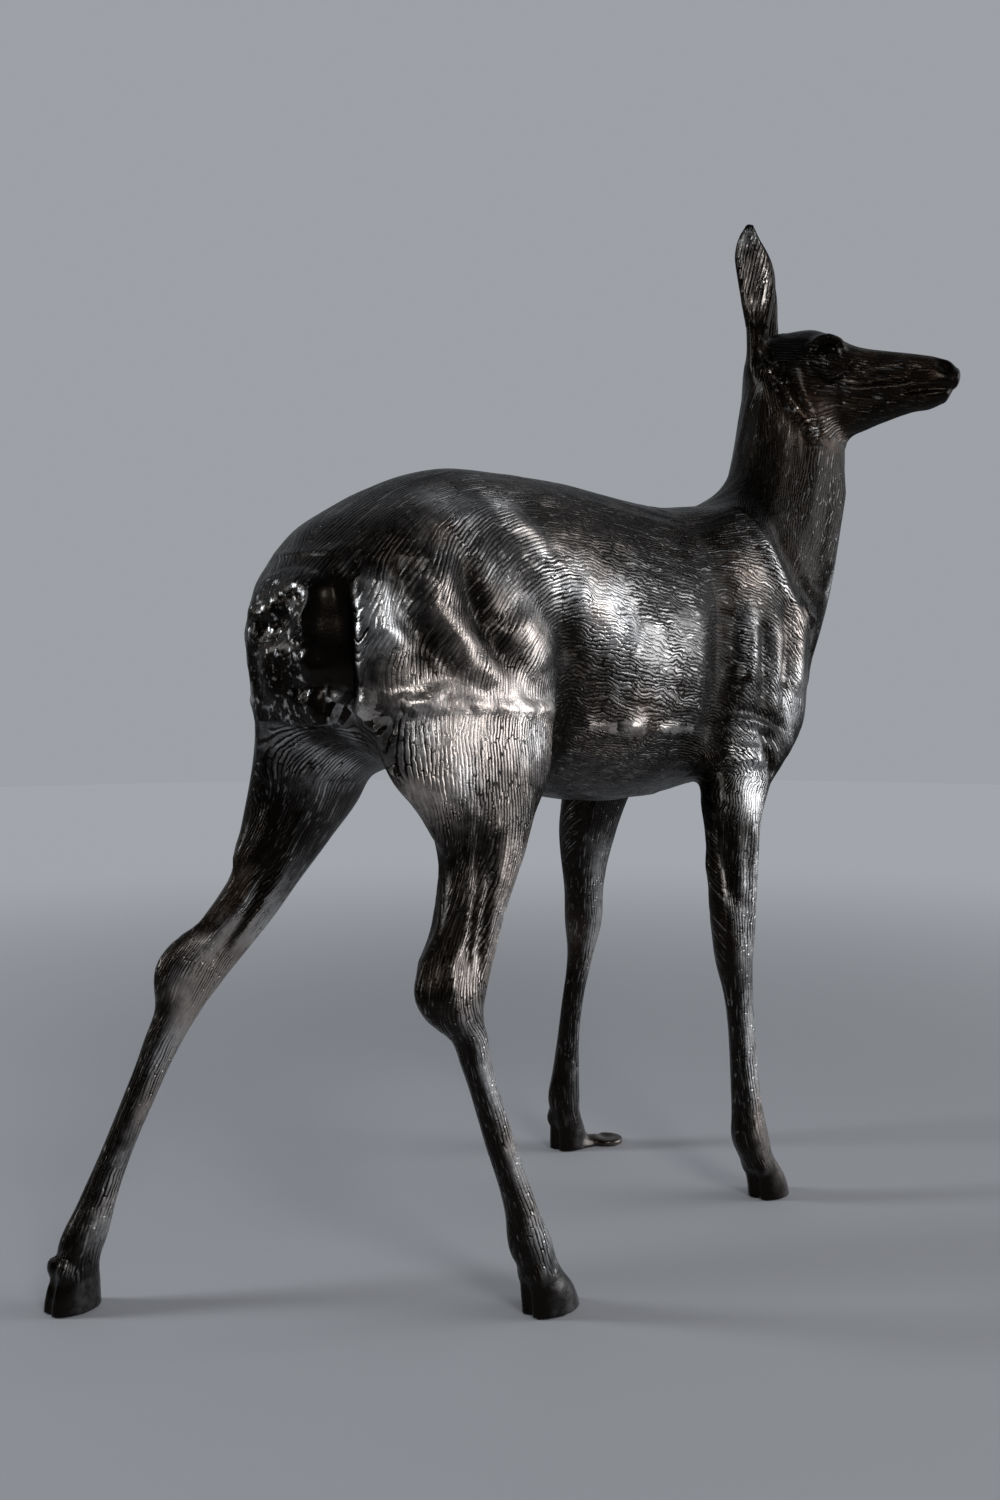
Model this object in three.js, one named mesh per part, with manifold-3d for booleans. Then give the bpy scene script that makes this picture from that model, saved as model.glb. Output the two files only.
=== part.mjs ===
// Standing doe, head turned to its right, cast in metal as one closed body.
// Millimetres, +X where the body points, +Y the doe's left, +Z up, soles on z = 0.
import * as THREE from "three";
import { mergeVertices } from "three/addons/utils/BufferGeometryUtils.js";
import Module from "manifold-3d";

// Sizes in millimetres.
const HEIGHT = 1205; // floor to the tip of the right ear
const CELL = 6.1; // spacing of the sampling lattice
const LUG_RADIUS = 22; // round foot cast on to the toe of the left fore hoof
const LUG_RISE = 9;
const EYE_SIZE = 12; // half length of the eyeball
const TRIANGLES = 9400;

// From here on lengths are in units of which the ear tip stands 98.7 up, measured
// from the floor midway between the fore hooves.
const UNIT = HEIGHT / 98.7;
const CENTRE = [-19.3, -2.33];

// Trunk slices: [x, top, bottom, half width].
const TRUNK = [
  [-48.6, 60.5, 50.0, 5.0], [-46, 64.0, 47.6, 6.8], [-42, 66.7, 46.5, 7.7],
  [-34, 69.7, 44.5, 8.4], [-26, 70.1, 42.0, 8.8], [-18, 69.9, 40.1, 9.4],
  [-10, 69.1, 39.5, 9.8], [-3, 68.7, 39.9, 9.5], [4, 69.2, 41.2, 8.6],
  [10, 68.5, 44.2, 7.2], [14, 65, 48, 5.4],
];

// Level slices of the upright limbs: [z, x, y, half length, half width].
const NECK = [
  [50, 8.8, -1.6, 7.6, 6.0], [56, 10.3, -2.3, 8.5, 6.6], [62, 12.6, -3.0, 8.8, 6.5],
  [68, 14.2, -3.6, 7.8, 6.1], [74, 15.6, -3.9, 6.6, 5.8], [79, 16.4, -3.9, 6.1, 5.5],
  [83.5, 16.3, -3.8, 5.2, 4.8],
];
const RIGHT_HIND = [
  [-2, -34.6, -15.6, 2.9, 2.1], [2, -35.4, -15.4, 2.5, 1.7], [3.7, -36.1, -15.2, 1.9, 1.35],
  [5.6, -36.9, -15.1, 2.05, 1.5], [8.6, -37.7, -14.9, 1.5, 1.3], [14.9, -39.9, -14.4, 1.3, 1.15],
  [21, -41.8, -13.8, 1.27, 1.15], [23.6, -42.5, -13.5, 1.7, 1.4], [25.2, -43.6, -13.3, 2.66, 1.6],
  [27, -44, -13.2, 3.5, 1.75], [29.6, -42.9, -12.8, 3.85, 1.75], [32.2, -41.3, -12.3, 3.6, 1.95],
  [34.9, -39.8, -11.8, 3.73, 2.3], [37.6, -38.6, -11.2, 4.5, 2.7], [40.5, -38.1, -10.6, 5.8, 3.1],
  [43.4, -37.9, -9.7, 8.2, 3.6], [47.5, -37.6, -8.4, 9.6, 4.2], [54, -37.2, -5.9, 10, 4.6],
];
const LEFT_HIND = [
  [-2, -62.3, 12.8, 2.6, 1.8], [2, -62.1, 12.8, 2.3, 1.6], [3.8, -61.7, 12.8, 1.9, 1.35],
  [5.6, -61.2, 12.7, 2.05, 1.5], [8.5, -59.9, 12.6, 1.65, 1.3], [14.7, -57, 12.2, 1.5, 1.12],
  [21, -54, 11.6, 1.85, 1.2], [24.3, -52.2, 11.2, 2.6, 1.5], [25.9, -51.6, 11, 3.5, 1.7],
  [27.8, -50.4, 10.8, 4.4, 1.75], [30.7, -47.8, 10.2, 4.35, 1.95], [34, -45.1, 9.6, 4.2, 2.3],
  [37.4, -42.8, 9.1, 4.8, 2.8], [40.8, -40.9, 8.7, 5.9, 3.2], [44.4, -40.2, 8, 6.3, 3.5],
  [48, -39.4, 7.2, 7.2, 3.9], [54, -37.6, 5.6, 9, 4.3],
];
const RIGHT_FORE = [
  [-2, 0.9, -12.6, 2.6, 1.95], [2.4, -0.2, -12.5, 2.1, 1.7], [4.1, -1.4, -12.4, 1.85, 1.5],
  [6.1, -2.3, -12.3, 2.05, 1.6], [9.1, -2.6, -12.1, 1.65, 1.45], [15, -2.7, -11.6, 1.45, 1.25],
  [20.8, -2.7, -11, 1.65, 1.35], [23.8, -3.1, -10.8, 2.1, 1.62], [26.7, -2.9, -10.5, 2.57, 1.75],
  [32.6, -2.4, -9.9, 3.37, 2.1], [38.4, -1.2, -9.1, 4.1, 2.45], [41, 0.1, -8.6, 4.9, 2.7],
  [42.6, 1.4, -8.1, 6.2, 2.9], [44.5, 2.8, -7.4, 8, 3.2], [47, 4, -6.6, 9.4, 3.5],
  [50, 4.4, -5.6, 10, 3.8],
];
const LEFT_FORE = [
  [-2, -1.6, 12, 2.5, 1.9], [2.2, -2.1, 12, 2.1, 1.65], [4, -2.6, 11.9, 1.75, 1.45],
  [5.8, -2.9, 11.8, 1.9, 1.55], [8.7, -2.8, 11.6, 1.55, 1.35], [15.4, -2.4, 11.1, 1.25, 1.1],
  [21.9, -1.6, 10.5, 1.6, 1.35], [25.2, -1.5, 10.2, 2.24, 1.8], [28.5, -1.8, 9.9, 2.4, 1.85],
  [31.8, -2.1, 9.5, 3, 2.1], [38.3, -1.6, 8.5, 4.6, 2.6], [41, -0.8, 8, 5.3, 2.7],
  [42.6, 0.2, 7.6, 6.2, 2.9], [44.5, 1.4, 7, 7.6, 3.2], [47, 2.8, 6.4, 9.2, 3.5],
  [50, 3.4, 5.6, 10, 3.8],
];
const LEGS = [RIGHT_HIND, LEFT_HIND, RIGHT_FORE, LEFT_FORE];
const TAIL = [
  [48.3, -48.8, 0.1, 0.9, 4.3], [50, -48.7, 0, 1.4, 4.5], [54, -48.6, 0, 1.7, 4.6],
  [57.5, -48.2, 0, 1.7, 4.4], [59.5, -47.6, 0, 1.5, 3.8], [61.5, -46.6, 0, 1.1, 2.8],
];

// Widths over which the pieces of the form run into one another.
const SOFT = { neck: 5, haunch: 4, shoulder: 3, leg: 2.5, head: 1.5, ear: 1.2, tail: 1, claw: 0.5 };

// Muscle masses of the right side, mirrored to the left: [centre], [half sizes].
const HAUNCH = [[-38, -5, 54.5], [10.4, 4.9, 11]];
const SHOULDER = [[4.5, -5.4, 56], [8, 4, 12.5]];

// The head has its own axes: sideways (its left), up, forward.
const HEAD_AT = [15.2, -2.6, 86];
const HEAD_FROM = 72; // level above which the head and ears lie
const HEAD_TURN = -58; // degrees from +X, to the doe's right
const HEAD_PITCH = -8;
// Slices along the head: [forward, side, up, half width, half depth].
const SKULL = [
  [-1.2, 0, -1.3, 2.9, 3.2], [1, 0, -1.2, 3.4, 3.8], [3.8, 0, -0.9, 3.6, 4], [6, 0, -1, 3.35, 3.6],
  [8.2, 0, -1.2, 2.75, 3.1], [12, 0, -1, 2.05, 2.7], [15, 0, -0.9, 1.85, 2.5],
  [17, 0, -0.8, 1.8, 2.25], [18.3, 0, -0.6, 1.55, 1.75], [19, 0, -0.4, 1.1, 1],
];
const JAW = [
  [2.2, 0, -4, 2.5, 2.6], [4.5, 0, -4.6, 2.75, 3], [9, 0, -4.9, 2.5, 2.7], [12, 0, -4.2, 1.9, 1.85],
  [15, 0, -3.1, 1.5, 1.4], [17, 0, -2.65, 1.3, 1.15], [18, 0, -2.3, 1, 0.8],
];
// Slices up an ear: [up, side, back, half thickness, half breadth].
const RIGHT_EAR = [
  [-1.5, -2.4, 1.8, 1, 0.95], [0.5, -2.6, 2, 1, 1.05], [2, -2.8, 2.1, 0.95, 1.2],
  [4.6, -3.2, 2.5, 0.95, 1.7], [7, -3.5, 2.9, 0.95, 2], [9.6, -3.9, 3.7, 0.85, 1.8],
  [11.3, -4.1, 4.2, 0.6, 1.05], [12.2, -4.2, 4.3, 0.35, 0.5],
];
const LEFT_EAR = [
  [-1.5, 2.4, 1.3, 1, 0.95], [0.5, 2.6, 1.2, 1, 1.05], [2, 2.9, 1.3, 0.95, 1.2],
  [4.6, 3.5, 2.2, 0.95, 1.65], [7, 3.9, 2.9, 0.95, 1.9], [9.6, 4.3, 3.7, 0.85, 1.7],
  [11.2, 4.5, 4.1, 0.6, 0.95], [12, 4.6, 4.2, 0.35, 0.45],
];
// Hollow of an ear, against the ear's own slices: [up, outward, half thickness, half breadth].
const EAR_HOLLOW = [
  [2.5, 1.05, 0.35, 0.4], [4.6, 0.8, 0.7, 1.03], [7, 0.9, 0.85, 1.38], [9.6, 0.8, 0.8, 1.22],
  [11.3, 0.5, 0.4, 0.5],
];

// Carved lines: [half width, rise (a groove if negative), [[a, b], ...]].
// On the flanks a = x and b = z. BOTH are cut on the right and, a little
// shallower, on the left; RIGHT only on the right.
const BOTH = [
  [1.5, -0.75, [[-44.2, 61.6], [-44.4, 59], [-44.2, 56.6], [-43.3, 54.4], [-41.8, 52.7]]], // thigh
  [1.3, 0.5, [[-46.4, 61], [-46.8, 57.6], [-47, 54]]],
  [1.8, 1.0, [[-40.4, 62], [-41.8, 59.2], [-42.2, 57.2], [-41.2, 55], [-39.8, 53], [-35.6, 51.2]]],
  [1.2, -0.75, [[-38.6, 61.2], [-38.2, 58.4], [-37.3, 55.7], [-36.2, 53.6], [-34.6, 52]]],
  [3.3, 1.0, [[-33.8, 57.8], [-32.2, 54.8], [-30.8, 51.8]]], // oval muscle over the stifle
  [2.3, -0.65, [[-26.4, 57.2], [-24.9, 54], [-24.7, 50.4], [-25.4, 46.8], [-26.2, 43.6]]],
  [1.4, 0.7, [[-32, 65.9], [-30.1, 65.2], [-28.3, 63.9], [-26.4, 62.6]]], // point of the hip
  [0.8, 0.4, [[-30.4, 62.9], [-27.4, 62], [-24.2, 60.8]]],
  [2.6, 0.8, [[-26, 60.4], [-23.2, 58.6], [-20.4, 56.4], [-17, 54]]], // last ribs
  [2.4, -0.95, [[-2.5, 60], [-2.9, 56.6], [-3.4, 52.4], [-3.9, 48], [-4.5, 43]]], // behind the shoulder
  [1.8, 0.2, [[-6.2, 60], [-6.6, 55.6], [-7.4, 50.8], [-8, 45.6]]],
  [0.8, 0.35, [[-49, 49.3], [-46.2, 49.7], [-43.1, 50], [-39.5, 49.6], [-34.6, 49.2], [-26.8, 48.8]]],
  [1.1, -0.4, [[-0.5, 58.6], [-0.3, 56], [-0.7, 53.2], [-1.8, 51]]], // shoulder
  [1.4, 0.45, [[1.1, 56.8], [0.6, 53.4], [-0.4, 49.8]]],
  [1.1, -0.5, [[2.8, 57.4], [3.1, 54], [3.1, 51], [2.6, 48.4]]],
  [1.4, 0.45, [[4.9, 56.4], [4.8, 53], [4.2, 49.8]]],
  [1.2, 0.45, [[3.8, 67.8], [4.7, 65.3], [5.8, 62.2], [7.6, 59.4], [9.8, 57], [13, 55.4]]], // neck
  [1.7, -0.6, [[6.6, 67.6], [7.7, 64.2], [8.9, 61.4], [10.6, 59.3], [12.6, 57.6]]],
];
const RIGHT = [
  [1.1, 0.4, [[-38.2, 64.7], [-34.2, 65.9]]],
  [2.2, -0.6, [[-21, 52.6], [-20.6, 48.8]]],
  [0.8, 0.3, [[-21.8, 47.3], [-16.8, 47], [-8.1, 46.6]]], // joint along the belly
  [1.0, 0.5, [[-17.2, 47.1], [-16.4, 47.1]]],
  [1.1, -0.5, [[6.5, 59.4], [6.9, 55.4], [6.5, 52], [5.6, 49.4]]],
  [1.5, 0.65, [[8.5, 56.2], [8.9, 53], [8, 49.6]]],
  [0.6, -0.35, [[-2.3, 48.2], [0.6, 48], [3.6, 47.1], [6.4, 45.9]]], // folds over the elbow
  [0.5, 0.4, [[-1.8, 47.3], [0.8, 47.1], [4, 46.2]]],
  [0.6, -0.3, [[-2.5, 46.5], [0.6, 46.3], [4.4, 45.1]]],
  [1.4, 0.9, [[-0.2, 45.2], [-0.3, 44], [-0.5, 42.6]]],
  [0.7, -0.5, [[2.2, 45], [2.9, 43.6], [3.3, 41.4]]],
  [0.8, 0.9, [[9.9, 59.8], [10.6, 58.3], [12.6, 57]]],
  [1.7, 0.7, [[18.2, 74], [16.6, 69], [15.2, 64], [14.4, 60.6]]], // front of the neck
  [0.9, -0.8, [[-42.3, 39], [-42.9, 35.9], [-44.3, 32.6], [-46, 29.9]]], // hamstring
  [0.7, 0.55, [[-41.6, 38.6], [-42.3, 35.2], [-43.4, 32.2], [-45.3, 29.6], [-45.6, 27.4], [-44.2, 25]]],
  [0.6, -0.65, [[-40.6, 39.4], [-41, 35.9], [-42.3, 32], [-43.3, 28.1]]],
  [0.45, -0.45, [[-39.6, 39], [-40.2, 35], [-41.5, 31], [-42.3, 27.6]]],
  [0.7, -0.5, [[-4.4, 38.4], [-4.6, 34], [-4.4, 29]]], // back of the foreleg
  [0.8, 0.4, [[-1, 39], [-1.4, 34], [-2, 29], [-2.3, 25]]],
];
const LEFT = [
  [0.9, -0.8, [[-47.2, 35.9], [-49.6, 32.9], [-52.4, 29.9]]],
  [0.6, -0.5, [[-45.4, 35.9], [-47.4, 32], [-50, 28.1]]],
  [0.8, 0.5, [[-44, 36.5], [-46.6, 32.4], [-49.4, 28.4]]],
];
// On the rump a = y and b = z.
const REAR = [
  [1.0, -1.1, [[-5.7, 59], [-6, 54.5], [-5.7, 50.5], [-5.2, 48.2]]], // either side of the tail
  [0.9, -0.9, [[5.7, 58], [6, 53], [5.5, 48.6]]],
  [0.8, 0.3, [[0.6, 58.6], [-1.6, 59.3], [-3.6, 58.8], [-4.5, 57.4]]], // upper edge of the tail
  [0.7, 0.3, [[4.6, 57.5], [3, 57.1], [1.5, 57], [0.2, 57.8]]],
  [1.3, -0.55, [[2.8, 55.8], [0.6, 55.6], [-1.6, 56.8]]],
  [0.8, 0.3, [[4.2, 56], [2.2, 55.1], [0, 54], [-1.6, 53.6]]],
  [0.9, 0.35, [[-3, 56.3], [-3.7, 55.4]]],
  [0.8, 0.35, [[-3.3, 53.8], [-4.1, 52.8], [-4.2, 51.8]]],
  [1.2, 0.3, [[1, 53.2], [0.8, 50.6]]],
  [0.7, 0.3, [[-3.1, 50.4], [-3.8, 49.4], [-4.2, 48.2]]],
  [0.7, -0.4, [[-2.3, 50.8], [-4.4, 51.2]]],
  [0.8, -0.35, [[3.4, 53.6], [3, 51], [3.2, 49]]],
];
// On both cheeks a = forward and b = up along the head.
const FACE = [
  [0.5, 0.42, [[3.7, 0.6], [4.4, 1.7], [5.4, 2.1], [6.6, 1.7], [7.6, 0.6]]], // brow
  [0.34, -0.4, [[4.1, 0.2], [4.8, 1.3], [6, 1.4], [7, 0.7]]],
  [0.42, -0.42, [[3.4, -1.1], [4.6, -1.9], [6.2, -2.2], [7.6, -1.3], [8.2, -0.2]]], // under the eye
  [0.6, 0.42, [[5.2, -2.9], [7.4, -3.2], [9.4, -3.1], [11.4, -2.5], [14, -2.1]]], // cheekbone
  [0.55, 0.38, [[8.6, -1.8], [10.2, -1], [11.6, -0.4], [13.1, 0.1], [14.8, 0.4]]], // side of the nose
  [0.8, -0.4, [[9, -2.2], [11, -1.6], [14, -0.9], [15.8, -0.6]]],
  [0.5, -0.65, [[16.7, 1], [17.6, 0.6], [18.2, 0]]], // nostril
  [0.36, -0.5, [[19.2, -1.5], [17, -1.9], [15, -2.3], [13.3, -2.9]]], // mouth
  [0.9, -0.7, [[-0.2, -1.8], [2, -4.2], [3.6, -6.2], [5.4, -8.2]]], // behind the jaw
];
// Soles: [x, y, how far the dew claws stand behind], a cleft down the middle of each.
const SOLES = [
  [-34.9, -15.4, 2.3], [-62.2, 12.8, 1.3], [0.2, -12.6, 2.2], [-2, 12, 1.8],
];
const CLEFT = [0.42, 0.55, 3.3]; // half width, depth, height
const LUG_AT = [2.2, 10.1];

// Corners of the block that the doe is sampled in; the hooves are cut off on z = 0.
const SAMPLED_FROM = [-68, -21, -4];
const SAMPLED_TO = [30, 18, 102];

const WORLD = [[1, 0, 0], [0, 1, 0], [0, 0, 1]];
const LENGTHWISE = [[0, 1, 0], [0, 0, 1], [1, 0, 0]];
const dot = (a, b) => a[0] * b[0] + a[1] * b[1] + a[2] * b[2];
const clamp = (v, lo, hi) => Math.min(hi, Math.max(lo, v));

// Smooth union of two distances over a width k.
function blend(a, b, k) {
  const h = Math.max(k - Math.abs(a - b), 0) / k;
  return Math.min(a, b) - h * h * k * 0.25;
}

// Rows resampled along their first column with a smooth curve.
function resample(rows, count = 96) {
  const last = rows.length - 1;
  const slope = (i, j) => (rows[i + 1][j] - rows[i][j]) / (rows[i + 1][0] - rows[i][0]);
  const tangent = (i, j) => {
    if (i === 0) return slope(0, j);
    if (i === last) return slope(last - 1, j);
    const before = rows[i][0] - rows[i - 1][0];
    const after = rows[i + 1][0] - rows[i][0];
    return (slope(i - 1, j) * after + slope(i, j) * before) / (after + before);
  };
  const out = new Float64Array(count * 5);
  let i = 0;
  for (let s = 0; s < count; s++) {
    const at = rows[0][0] + ((rows[last][0] - rows[0][0]) * s) / (count - 1);
    while (i < last - 1 && at >= rows[i + 1][0]) i++;
    const h = rows[i + 1][0] - rows[i][0];
    const t = (at - rows[i][0]) / h;
    out[s * 5] = at;
    for (let j = 1; j < 5; j++) {
      const a = rows[i][j];
      const b = rows[i + 1][j];
      out[s * 5 + j] = (2 * t ** 3 - 3 * t ** 2 + 1) * a + (t ** 3 - 2 * t ** 2 + t) * h * tangent(i, j)
        + (3 * t ** 2 - 2 * t ** 3) * b + (t ** 3 - t ** 2) * h * tangent(i + 1, j);
    }
  }
  return out;
}

// A limb of oval slices: rows are [w, u, v, half u, half v] in the given axes.
function limb([uAxis, vAxis, wAxis], origin, rows, { power = 2, lean = 0, cap = 1 } = {}) {
  const count = 96;
  const table = resample(rows, count);
  const low = table[0];
  const span = table[(count - 1) * 5] - low;
  const step = span / (count - 1);
  const steep = new Float64Array(count);
  for (let s = 0; s < count; s++) {
    const a = Math.max(s - 1, 0) * 5;
    const b = Math.min(s + 1, count - 1) * 5;
    const run = table[b] - table[a];
    steep[s] = 1 / Math.hypot(1, (table[b + 1] - table[a + 1]) / run, (table[b + 2] - table[a + 2]) / run);
  }
  const now = [0, 0, 0, 0, 0];
  return (x, y, z) => {
    const q = [x - origin[0], y - origin[1], z - origin[2]];
    const w = dot(q, wAxis);
    const held = clamp(w, low, low + span);
    const f = (held - low) / step;
    const s = Math.min(Math.floor(f), count - 2);
    const t = f - s;
    for (let j = 1; j < 5; j++) {
      now[j] = table[s * 5 + j] * (1 - t) + table[s * 5 + 5 + j] * t;
    }
    const du = dot(q, uAxis) - now[1];
    const dv = dot(q, vAxis) - now[2];
    const dw = w - held;
    const ru = now[3] * (1 + lean * clamp(dv / now[4], -1.2, 1.2));
    const rv = now[4];
    const rw = Math.min(ru, rv) * cap;
    let near = Math.hypot(du / ru, dv / rv, dw / rw);
    let rate = Math.hypot(du / ru ** 2, dv / rv ** 2, dw / rw ** 2) + 1e-9;
    if (power !== 2) {
      const full = (Math.abs(du / ru) ** power + Math.abs(dv / rv) ** power
        + Math.abs(dw / rw) ** power) ** (1 / power);
      rate = (rate / (near + 1e-9)) * full + 1e-9;
      near = full;
    }
    return ((near * (near - 1)) / rate) * (steep[s] * (1 - t) + steep[s + 1] * t);
  };
}

// An ellipsoid in the given axes.
function mass(centre, half, [uAxis, vAxis, wAxis] = WORLD) {
  return (x, y, z) => {
    const q = [x - centre[0], y - centre[1], z - centre[2]];
    const u = dot(q, uAxis);
    const v = dot(q, vAxis);
    const w = dot(q, wAxis);
    const near = Math.hypot(u / half[0], v / half[1], w / half[2]);
    const rate = Math.hypot(u / half[0] ** 2, v / half[1] ** 2, w / half[2] ** 2) + 1e-9;
    return (near * (near - 1)) / rate;
  };
}

// Rise of carved lines at (a, b): highest on the line, fading at its ends.
function carving(lines) {
  const set = lines.map(([width, rise, points]) => {
    const as = points.map((p) => p[0]);
    const bs = points.map((p) => p[1]);
    const reach = 2.6 * width;
    const lengths = points.slice(1).map((p, i) => Math.hypot(p[0] - points[i][0], p[1] - points[i][1]));
    return {
      width, rise, points, lengths,
      total: lengths.reduce((sum, v) => sum + v, 0),
      box: [as, bs].flatMap((v) => [Math.min(...v) - reach, Math.max(...v) + reach]),
    };
  });
  return (a, b) => {
    let sum = 0;
    for (const { width, rise, points, lengths, total, box } of set) {
      if (a < box[0] || a > box[1] || b < box[2] || b > box[3]) continue;
      let best = Infinity;
      let along = 0;
      let done = 0;
      for (let i = 0; i < lengths.length; i++) {
        const [pa, pb] = points[i];
        const ea = points[i + 1][0] - pa;
        const eb = points[i + 1][1] - pb;
        const t = clamp(((a - pa) * ea + (b - pb) * eb) / (ea * ea + eb * eb), 0, 1);
        const gap = (a - pa - t * ea) ** 2 + (b - pb - t * eb) ** 2;
        if (gap < best) {
          best = gap;
          along = (done + t * lengths[i]) / total;
        }
        done += lengths[i];
      }
      const fade = points.length > 2 ? clamp((Math.min(along, 1 - along) / 0.22) * 0.75 + 0.25, 0, 1) : 1;
      sum += rise * fade * Math.exp(-best / width ** 2);
    }
    return sum;
  };
}

// Distance to the skin of the doe, less than zero inside.
function doe() {
  const turn = (HEAD_TURN * Math.PI) / 180;
  const pitch = (HEAD_PITCH * Math.PI) / 180;
  const side = [-Math.sin(turn), Math.cos(turn), 0];
  const ahead = [Math.cos(turn) * Math.cos(pitch), Math.sin(turn) * Math.cos(pitch), Math.sin(pitch)];
  const up = [
    ahead[1] * side[2] - ahead[2] * side[1],
    ahead[2] * side[0] - ahead[0] * side[2],
    ahead[0] * side[1] - ahead[1] * side[0],
  ];
  const back = ahead.map((v) => -v);
  const headAxes = [side, up, ahead];
  const earAxes = [side, back, up];
  const onHead = (f, v, s) => HEAD_AT.map((c, i) => c + ahead[i] * f + up[i] * v + side[i] * s);
  const flip = ([x, y, z]) => [x, -y, z];

  const trunk = limb(
    LENGTHWISE, [0, 0, 0],
    TRUNK.map(([x, top, bottom, half]) => [x, 0, (top + bottom) / 2, half, (top - bottom) / 2]),
    { power: 2.2, lean: -0.1, cap: 0.35 },
  );
  const neck = limb(WORLD, [0, 0, 0], NECK, { cap: 0.5 });
  const legs = LEGS.map((rows) => limb(WORLD, [0, 0, 0], rows, { cap: 0.5 }));
  const tail = limb(WORLD, [0, 0, 0], TAIL, { power: 4, cap: 0.4 });
  const haunches = [HAUNCH, [flip(HAUNCH[0]), HAUNCH[1]]].map(([c, r]) => mass(c, r));
  const shoulders = [SHOULDER, [flip(SHOULDER[0]), SHOULDER[1]]].map(([c, r]) => mass(c, r));
  const skull = limb(headAxes, HEAD_AT, SKULL, { cap: 0.5 });
  const jaw = limb(headAxes, HEAD_AT, JAW, { cap: 0.6 });
  const brows = [-2.7, 2.7].map((s) => mass(onHead(5.4, 1.1, s), [0.9, 1, 1.5], headAxes));
  const eye = EYE_SIZE / UNIT;
  const eyes = [-3.05, 3.05].map((s) => mass(onHead(5.9, 0.5, s), [eye * 0.75, eye * 0.85, eye], headAxes));
  const ears = [[RIGHT_EAR, -1], [LEFT_EAR, 1]].map(([rows, out]) => {
    const at = resample(rows);
    const hollow = EAR_HOLLOW.map(([h, outward, thick, broad]) => {
      let s = 0;
      while (at[s * 5] < h && s < 95) s++;
      return [h, at[s * 5 + 1] + out * outward, at[s * 5 + 2] + 0.05, thick, broad];
    });
    return [limb(earAxes, HEAD_AT, rows), limb(earAxes, HEAD_AT, hollow)];
  });
  const claws = SOLES.flatMap(([x, y, behind]) => [-0.75, 0.75].map((s) => ({
    at: [x - behind, y + s, 3.6],
    shape: mass([x - behind, y + s, 3.6], [0.5, 0.5, 0.8]),
  })));
  const disc = LUG_RADIUS / UNIT;
  const rise = LUG_RISE / UNIT;
  const lug = limb(WORLD, [0, 0, 0], [[-2, ...LUG_AT, disc, disc], [rise * 0.7, ...LUG_AT, disc, disc]], {
    cap: (rise * 0.3) / disc,
  });
  const dish = mass([...LUG_AT, rise * 1.2], [disc * 0.65, disc * 0.65, rise * 0.5]);
  const toe = mass([(LUG_AT[0] + SOLES[3][0]) / 2 + 0.3, (LUG_AT[1] + SOLES[3][1]) / 2, 0], [1.9, 1.2, 1]);
  const right = carving([...BOTH, ...RIGHT]);
  const left = carving([...BOTH.map(([w, rise, line]) => [w, rise * 0.9, line]), ...LEFT]);
  const rear = carving(REAR);
  const face = carving(FACE);

  return (x, y, z) => {
    let d = blend(trunk(x, y, z), neck(x, y, z), SOFT.neck);
    for (const shape of haunches) d = blend(d, shape(x, y, z), SOFT.haunch);
    for (const shape of shoulders) d = blend(d, shape(x, y, z), SOFT.shoulder);
    for (const shape of legs) d = blend(d, shape(x, y, z), SOFT.leg);
    if (z > HEAD_FROM) {
      let head = blend(skull(x, y, z), jaw(x, y, z), SOFT.head);
      for (const shape of brows) head = blend(head, shape(x, y, z), 0.8);
      for (const [leaf, hollow] of ears) {
        head = blend(head, -blend(-leaf(x, y, z), hollow(x, y, z), 0.35), SOFT.ear);
      }
      d = blend(d, head, SOFT.head);
    }
    if (x < -40) d = blend(d, tail(x, y, z), SOFT.tail);
    if (z < 8) {
      d = blend(d, toe(x, y, z), 0.8);
      d = blend(d, -blend(-lug(x, y, z), dish(x, y, z), 0.2), SOFT.claw);
      for (const { at, shape } of claws) {
        if (Math.abs(x - at[0]) < 4 && Math.abs(y - at[1]) < 4) d = blend(d, shape(x, y, z), SOFT.claw);
      }
    }
    if (Math.abs(d) > 4) return d;

    let rise = (y < 0 ? right(x, z) : left(x, z)) * clamp((Math.abs(y) - 2) / 3, 0, 1);
    if (x < -44) rise += rear(y, z) * clamp((-44 - x) / 3, 0, 1);
    if (z < 4) {
      for (const [sx, sy] of SOLES) {
        if (Math.abs(x - sx) > 5 || Math.abs(y - sy) > 4) continue;
        const [width, depth, height] = CLEFT;
        rise -= depth * Math.exp(-(((y - sy) / width) ** 2)) * clamp((height - z) / 1.2, 0, 1);
      }
    }
    if (z > HEAD_FROM) {
      const q = [x - HEAD_AT[0], y - HEAD_AT[1], z - HEAD_AT[2]];
      rise += face(dot(q, ahead), dot(q, up)) * clamp((Math.abs(dot(q, side)) - 0.5) / 0.8, 0, 1);
    }
    d -= rise;
    if (z > HEAD_FROM) {
      for (const shape of eyes) d = blend(d, shape(x, y, z), 0.25);
    }
    return d;
  };
}

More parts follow.
